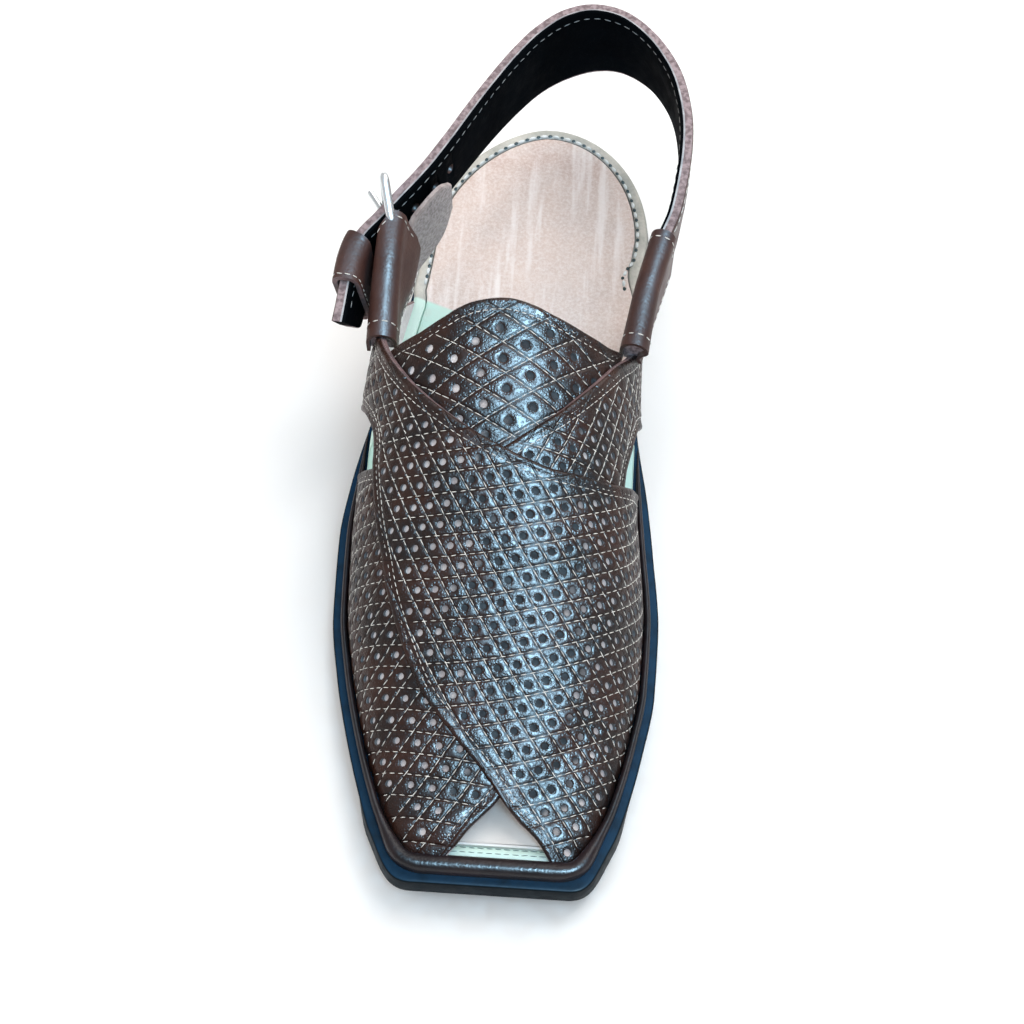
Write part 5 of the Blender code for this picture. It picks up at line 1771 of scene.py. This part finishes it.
def stations_of(rows: Sequence[Sequence[float]], count: int) -> Stations:
    """Reads a strap's rows (x, y, and its other sizes) on a smooth curve."""
    read = spline(rows, count)
    middle = np.column_stack([read[:, :2], np.zeros(count)])
    ahead, behind = np.vstack([middle[1:], middle[-1:]]), np.vstack([middle[:1], middle[:-1]])
    along = unit(ahead - behind)
    out = np.column_stack([along[:, 1], -along[:, 0], np.zeros(count)])
    return Stations(middle, along, out, read[:, 2:])


@dataclass(frozen=True)
class BuckleSizes:
    """The wire frame and its prong."""

    wire: float = 1.5
    base: tuple[float, float] = (-47.3, -40.2)
    end: tuple[float, float] = (-50.8, -26.6)
    base_low: float = 52.0
    base_high: float = 74.2
    end_low: float = 50.0
    end_high: float = 82.4
    corner: float = 3.6
    prong: float = 1.1
    prong_height: float = 66.0
    prong_tip: tuple[float, float] = (-56.4, -23.2)
    prong_rise: float = 1.2
    prong_steps: int = 24
    wrap: tuple[float, float] = (-140.0, -320.0)

    def frame_path(self) -> Points:
        """The frame's closed path with its rounded corners."""
        base, end = np.array([*self.base, 0.0]), np.array([*self.end, 0.0])
        corners = [base + UP * self.base_low, base + UP * self.base_high]
        corners += [end + UP * self.end_high, end + UP * self.end_low]
        path = []
        for i, corner in enumerate(corners):
            back = unit(corners[i - 1] - corner) * self.corner
            ahead = unit(corners[(i + 1) % 4] - corner) * self.corner
            path += [corner + back * (1 - t) ** 2 + ahead * t**2 for t in np.linspace(0, 1, 12)]
        return resample(np.array([*path, path[0]]), 0.8)[:-1]

    def prong_path(self) -> Points:
        """The prong's path, round the base bar and on to its tip."""
        pivot = np.array([*self.base, self.prong_height])
        tip = np.array([*self.prong_tip, self.prong_height + self.prong_rise])
        forward = unit((tip - pivot) * (1, 1, 0))
        outward = np.array((-forward[1], forward[0], 0.0))
        hook = self.wire + GAP + self.prong
        angles = np.radians(np.linspace(*self.wrap, 20))
        wrap = pivot - outward * (hook * np.sin(angles))[:, None] + forward * (hook * np.cos(angles))[:, None]
        return np.vstack([wrap, np.linspace(wrap[-1], tip, self.prong_steps)[1:]])

    def make(self) -> None:
        """Makes the frame and the prong."""
        bent = tube(self.frame_path(), self.wire, closed=True, sides=20)
        put_on(make_object("buckle_wire", bent, [STEEL], sharp=70), "steel", "buckle_frame")
        prong = tube(self.prong_path(), self.prong, sides=18)
        put_on(make_object("prong_wire", prong, [STEEL], sharp=70), "steel", "buckle_prong")


BUCKLE = BuckleSizes()


@dataclass(frozen=True)
class BackStrap:
    """The strap round the heel, with its lining, its holes and its edge stitching."""

    thick: float = 4.2
    lining: float = 1.2
    count: int = 190
    slant: float = 3.0
    tip_length: float = 8.0
    hole: float = 1.7
    prong_hole: float = 2.1
    hole_pitch: float = 9.0
    spare_holes: int = 3
    row_depth: float = 3.0
    uneven: float = 0.35

    def at(self, s: Stations, across: float, share: Points | float) -> Points:
        """Places on the strap: how far out of its middle, and the share of the way down from its top."""
        top, width, lean = s.rest.T
        flat = s.middle + s.out * (across - lean * share)[:, None]
        return np.column_stack([flat[:, :2], top - width * share])

    def profile(self) -> list[tuple[float, float, int]]:
        """The section's corners: across, the share of the way down, and the finish of the face after it."""
        half, seam = self.thick / 2, self.thick / 2 - self.lining
        face, edge, line, lining = range(4)
        top = [
            (-half, 0.03, lining),
            (-half + 0.35, 0.006, lining),
            (-seam - 0.3, 0, line),
            (-seam + 0.3, 0.008, edge),
            (half - 1.0, 0.004, edge),
            (half - 0.35, 0.012, face),
        ]
        outer = [(half, share, face) for share in (0.04, 0.2, 0.5, 0.8, 0.96)]
        low = [(half - 0.35, 0.99, face), (half - 1.0, 1.0, edge), (-half + 0.4, 1.0, edge)]
        inner = [(-half, share, lining) for share in (0.97, 0.8, 0.5, 0.2)]
        return top + outer + low + inner

    def make(self) -> None:
        """Makes the strap and its stitches."""
        s = stations_of(BACK_STRAP, self.count)
        tip = s.middle[-1]
        slant = self.slant * np.maximum(0.0, 1 - np.linalg.norm(s.middle - tip, axis=1) / self.tip_length)
        wave = np.random.default_rng(SEED).standard_normal(self.count)
        wave = np.convolve(wave, np.ones(9) / 9, "same")
        rings, paint = [], []
        for across, share, finish in self.profile():
            line = self.at(s, across, share) - s.along * (slant * share)[:, None]
            line[:, 2] += self.uneven * wave * (share < 0.1)
            rings.append(line)
            paint.append(finish)
        parts = loft(np.stack(rings, 1), paint=paint)
        strap = make_object("strap_leather", parts, [SMOOTH, RAW_EDGE, EDGE_LINE, BLACK_LINING])
        cut(strap, self.hole_cutters(s))
        put_on(strap, "brown_leather", "back_strap")
        for way, name, finish in ((-1, "lining", GREY_THREAD), (1, "outer", THREAD)):
            thread = Stitches(f"strap_{name}_stitches", finish, 0.42)
            line = self.at(s, way * self.thick / 2, self.row_depth / s.rest[:, 1])
            middles, runs = dashes(line[4:-6], 3.6)
            nearest = [int(np.argmin(np.linalg.norm(line - m, axis=1))) for m in middles]
            thread.add(middles + s.out[nearest] * way * 0.06, runs, s.out[nearest] * way, 2.5)
            thread.sew("brown_leather", "back_strap")

    def hole_cutters(self, s: Stations) -> list[bpy.types.Object]:
        """Round cutters for the hole in use and the spare ones."""
        start, end = BUCKLE.prong_path()[[-BUCKLE.prong_steps, -1]]
        run = (end - start)[:2]
        gap = s.middle[:, :2] - start[:2]
        off = np.where(s.middle[:, 0] < -40.0, np.abs(gap[:, 0] * run[1] - gap[:, 1] * run[0]), np.inf)
        used = int(np.argmin(off))
        share = float(gap[used] @ run / (run @ run))
        found = [(start + (end - start) * share, end - start, self.prong_hole)]
        travelled = np.abs(lengths_along(s.middle) - lengths_along(s.middle)[used])
        for n in range(1, self.spare_holes + 1):
            k = next(i for i in range(used, 0, -1) if travelled[i] >= n * self.hole_pitch)
            found.append((self.at(s, 0.0, 0.5)[k], s.out[k], self.hole))
        cutters = []
        for n, (centre, direction, radius) in enumerate(found):
            way = unit(np.asarray(direction))
            path = np.array([centre - way * 8.4, centre, centre + way * 8.4])
            cutters.append(make_object(f"punch_{n}", tube(path, radius, sides=20), [HOLE_WALL]))
        return cutters


@dataclass(frozen=True)
class Sleeve:
    """A leather sleeve folded over a strap's end, stitched across both of its ends."""

    name: str
    node: str
    rows: tuple[tuple[float, ...], ...]
    side: Side
    wall: float = 1.1
    count: int = 46
    arch: int = 20
    leaf_middle: float = 0.55
    leaf_end: float = 0.75
    ends: tuple[float, float] = (3.4, 2.4)
    core_reach: tuple[float, float] = (1.4, 12.0)
    slot: float = 12.0

    def ring(self, reach_drop: float) -> tuple[Stations, list[tuple[Points, Points, Points]]]:
        """The stations and the line over the fold: across, down and cut, at a depth inside the leather."""
        s = stations_of(self.rows, self.count)
        _, width, depth, belly, _, slant = s.rest.T
        half = width / 2
        reach = half - reach_drop
        zero = np.zeros(self.count)
        line = []
        for t in (1.0, 0.86, 0.7, self.leaf_middle, 0.35, 0.15):
            past = smooth_step((t - self.leaf_middle) / (1 - self.leaf_middle))
            swell = smooth_step(t / self.leaf_middle) - (1 - self.leaf_end) * past
            line.append((reach + swell * belly, half + (depth - half) * t, slant * t**2))
        angles = np.pi * np.arange(self.arch + 1) / self.arch
        line += [(reach * math.cos(a), half - reach * math.sin(a), zero) for a in angles]
        for t in (0.2, 0.5, 0.8, 1.0):
            line.append((-reach, half + (depth - half) * t, zero))
        return s, line

    def place(self, s: Stations, across: Points, down: Points, cut_back: Points) -> Points:
        """Places on the sleeve."""
        half, short = s.rest[:, 1] / 2, s.rest[:, 4]
        stop = cut_back + short * np.maximum(across * Side.LATERAL.value / half, 0.0)
        flat = s.middle + s.out * across[:, None] - s.along * stop[:, None]
        return np.column_stack([flat[:, :2], s.rest[:, 0] - down])

    def make(self) -> None:
        """Makes the sleeve and its stitches."""
        s, outer = self.ring(0.0)
        _, inner = self.ring(self.wall)
        lines = [self.place(s, *part) for part in outer + inner[::-1]]
        paint = [0] * (len(outer) - 1) + [1] + [2] * (len(inner) - 1) + [1]
        parts = loft(np.stack(lines, 1), ladder=True, paint=paint)
        sleeve = make_object(f"{self.name}_leather", parts, [SMOOTH, CUT_EDGE, FLESH], sharp=60)
        if self.side is Side.LATERAL:
            cut(sleeve, [self.prong_slot()])
        put_on(sleeve, "brown_leather", self.node)
        self.sew(s, np.stack(lines[: len(outer)], 1))
        self.core()

    def core(self) -> None:
        """Makes the turned-in leather end that fills the sleeve's fore end."""
        s, line = self.ring(self.wall + 0.15)
        rings = np.stack([self.place(s, *part) for part in line], 1)
        length = lengths_along(s.middle)
        held = (length > self.core_reach[0]) & (length < self.core_reach[1])
        core = make_object(f"{self.name}_core", loft(rings[held]), [RAW_EDGE], sharp=60)
        put_on(core, "brown_leather", self.node)

    def prong_slot(self) -> bpy.types.Object:
        """The cutter of the slot that the prong stands in."""
        x, y = BUCKLE.base
        reach = BUCKLE.prong * 2 + BUCKLE.wire + 3 * GAP
        low, high = BUCKLE.prong_height - reach, BUCKLE.prong_height + reach
        slot = box_parts((x - self.slot, y - reach, low), (x, y + self.slot, high))
        return make_object("slot_cutter", slot, [SMOOTH])

    def sew(self, s: Stations, skin: Points) -> None:
        """Rows across the ends and along the lower edges."""
        thread = Stitches(f"{self.name}_stitches", THREAD, 0.42)
        length = lengths_along(s.middle)
        for depth, first in zip(self.ends, (0, -1)):
            at = depth if first == 0 else length[-1] - depth
            k = int(np.searchsorted(length, at))
            arch = skin[k, 4:-2]
            middles, runs = dashes(resample(arch, 0.8), 3.1)
            centre = np.append(s.middle[k, :2], s.rest[k, 0] - s.rest[k, 1] / 2)
            out = middles - centre
            out = out - np.outer(out @ s.along[k], s.along[k])
            thread.add(middles + 0.05 * unit(out), runs, out, 2.0)
        for column, way in ((1, 1), (-2, -1)):
            line = skin[2:-2, column]
            middles, runs = dashes(resample(line, 0.8), 3.3)
            near = [int(np.argmin(np.linalg.norm(skin[:, column] - m, axis=1))) for m in middles]
            thread.add(middles + 0.08 * way * s.out[near], runs, s.out[near] * way, 2.2)
        thread.sew("brown_leather", self.node)


@dataclass(frozen=True)
class Keeper:
    """The leather loop that holds the strap's free end."""

    wall: float = 1.6
    start: float = 12.5
    end: float = 29.5
    slack: float = 0.8
    corner: float = 3.6

    def make(self) -> None:
        """Makes the loop and the stitches round its front edge."""
        strap = BackStrap()
        s = stations_of(BACK_STRAP, strap.count)
        away = np.linalg.norm(s.middle - s.middle[-1], axis=1)
        held = np.flatnonzero((away >= self.start) & (away <= self.end))[::-1]
        s = Stations(*(part[held] for part in s))
        width = s.rest[:, 1]
        shells = []
        for wall in (self.wall, 0.0):
            half, down = strap.thick / 2 + self.slack + wall, self.slack + wall
            corner = min(self.corner - self.wall + wall, half - 0.1)
            ring = []
            turns = ((1, 1, 0), (-1, 1, 90), (-1, -1, 180), (1, -1, 270))
            for sx, sz, turn in turns:
                for k in range(5):
                    a = math.radians(turn + 22.5 * k)
                    across = sx * (half - corner) + corner * math.cos(a)
                    rise = corner * math.sin(a)
                    height = (down - corner + rise) if sz > 0 else (-down + corner + rise)
                    share = (-height if sz > 0 else width - height) / width
                    ring.append(strap.at(s, across, share))
            shells.append(np.stack(ring, 1))
        outer, inner = shells
        rings = np.concatenate([outer, inner[::-1]])
        parts = loft(rings, closed=True)
        size, count = rings.shape[1], len(outer)
        slots = [0] * len(parts.faces)
        for r in range(len(rings)):
            finish = 1 if r in (count - 1, 2 * count - 1) else (2 if r >= count else 0)
            slots[r * size : (r + 1) * size] = [finish] * size
        parts = parts._replace(slots=slots)
        keeper = make_object("keeper_leather", parts, [SMOOTH, CUT_EDGE, FLESH], sharp=50)
        put_on(keeper, "brown_leather", "keeper_loop")
        thread = Stitches("keeper_stitches", THREAD, 0.4)
        ring = outer[1]
        middles, runs = dashes(resample(np.vstack([ring, ring[:1]]), 0.8), 2.6)
        out = middles - ring.mean(0)
        thread.add(middles + 0.05 * unit(out), runs, out, 1.8)
        thread.sew("brown_leather", "keeper_loop")


@dataclass(frozen=True)
class GuardFlap:
    """The suede flap that keeps the buckle off the foot."""

    thick: float = 2.0
    count: int = 40

    def make(self) -> None:
        """Makes the flap."""
        s = stations_of(GUARD_FLAP, self.count)
        top, bottom = s.rest.T
        half = self.thick / 2
        corners = [(-half, 0.0), (half, 0.0), (half, 0.5), (half, 0.96)]
        corners += [(half * 0.6, 1.0), (-half * 0.6, 1.0), (-half, 0.96), (-half, 0.5)]
        rings = []
        for across, share in corners:
            flat = s.middle + s.out * across
            rings.append(np.column_stack([flat[:, :2], bottom + (top - bottom) * share]))
        paint = [0, 0, 0, 1, 1, 1, 0, 0]
        flap = make_object("guard_suede", loft(np.stack(rings, 1), paint=paint), [SUEDE, PALE_EDGE], sharp=50)
        put_on(flap, "suede", "guard_flap")


# ---- studio
class Lamp(NamedTuple):
    """A flat soft light: where it stands, where it points, its side, power and colour, and what it lights."""

    name: str
    place: Place
    target: Place
    size: float
    power: float
    colour: Colour
    stretch: float = 1.0
    diffuse: bool = True
    glossy: bool = True


@dataclass(frozen=True)
class Studio:
    """The pale floor, the lights and the camera."""

    camera: Place = (14.14, -386.57, 546.12)
    turn: Place = (26.414, -0.850, 3.588)
    lens: float = 63.28
    shift: tuple[float, float] = (-0.0244, 0.0324)
    world: float = 0.66
    floor: float = 4000.0
    lamps: tuple[Lamp, ...] = (
        Lamp("key", (0.40, 0.62, 1.00), (0.0, -0.10, 0.03), 1.0, 14.0, (1.0, 0.98, 0.96)),
        Lamp(
            "sky", (0.25, -0.50, 0.93), (0.0, -0.15, 0.05), 0.22, 80.0, (0.45, 0.76, 1.0), 2.6, diffuse=False
        ),
        Lamp("left", (-0.9, -0.1, 0.7), (0.0, -0.10, 0.05), 0.9, 3.0, (1.0, 0.98, 0.96), glossy=False),
    )

    def make(self) -> None:
        """Makes the floor, the lights and the camera."""
        scene = bpy.context.scene
        scene.view_settings.view_transform = "Standard"
        corners = np.array([(x, y, 0.0) for x, y in ((-1, -1), (1, -1), (1, 1), (-1, 1))]) * self.floor
        floor = make_object("studio_floor", MeshParts(corners, [(0, 1, 2, 3)], [0]), [FLOOR])
        world = bpy.data.worlds.new("studio")
        world.use_nodes = True
        back = world.node_tree.nodes["Background"]
        back.inputs["Color"].default_value = (1.0, 1.0, 1.0, 1.0)
        back.inputs["Strength"].default_value = self.world
        scene.world = world
        for lamp in self.lamps:
            light = bpy.data.lights.new(lamp.name, "AREA")
            light.shape, light.size, light.size_y = "RECTANGLE", lamp.size, lamp.size * lamp.stretch
            light.energy, light.color = lamp.power, lamp.colour
            made = bpy.data.objects.new(lamp.name, light)
            made.location = lamp.place
            made.visible_diffuse, made.visible_glossy = lamp.diffuse, lamp.glossy
            aim = Vector(lamp.target) - Vector(lamp.place)
            made.rotation_euler = aim.to_track_quat("-Z", "Y").to_euler()
            scene.collection.objects.link(made)
        lens = bpy.data.cameras.new("camera")
        lens.lens, lens.sensor_width = self.lens, 36.0
        lens.shift_x, lens.shift_y = self.shift
        lens.clip_start, lens.clip_end = 0.01, 20.0
        camera = bpy.data.objects.new("camera", lens)
        camera.location = Vector(self.camera) * MM
        camera.rotation_euler = [math.radians(a) for a in self.turn]
        scene.collection.objects.link(camera)
        scene.camera = camera


def main() -> None:
    """Builds and dresses every piece in order."""
    logging.basicConfig(level=logging.INFO, format="%(message)s")
    Sole().make()
    Footbed().make()
    Rand().make()
    Upper().make()
    BackStrap().make()
    Sleeve("medial_sleeve", "sleeve_medial", MEDIAL_SLEEVE, Side.MEDIAL).make()
    Sleeve("lateral_sleeve", "sleeve_lateral", LATERAL_SLEEVE, Side.LATERAL).make()
    Keeper().make()
    BUCKLE.make()
    GuardFlap().make()
    Studio().make()


if __name__ == "__main__":
    main()
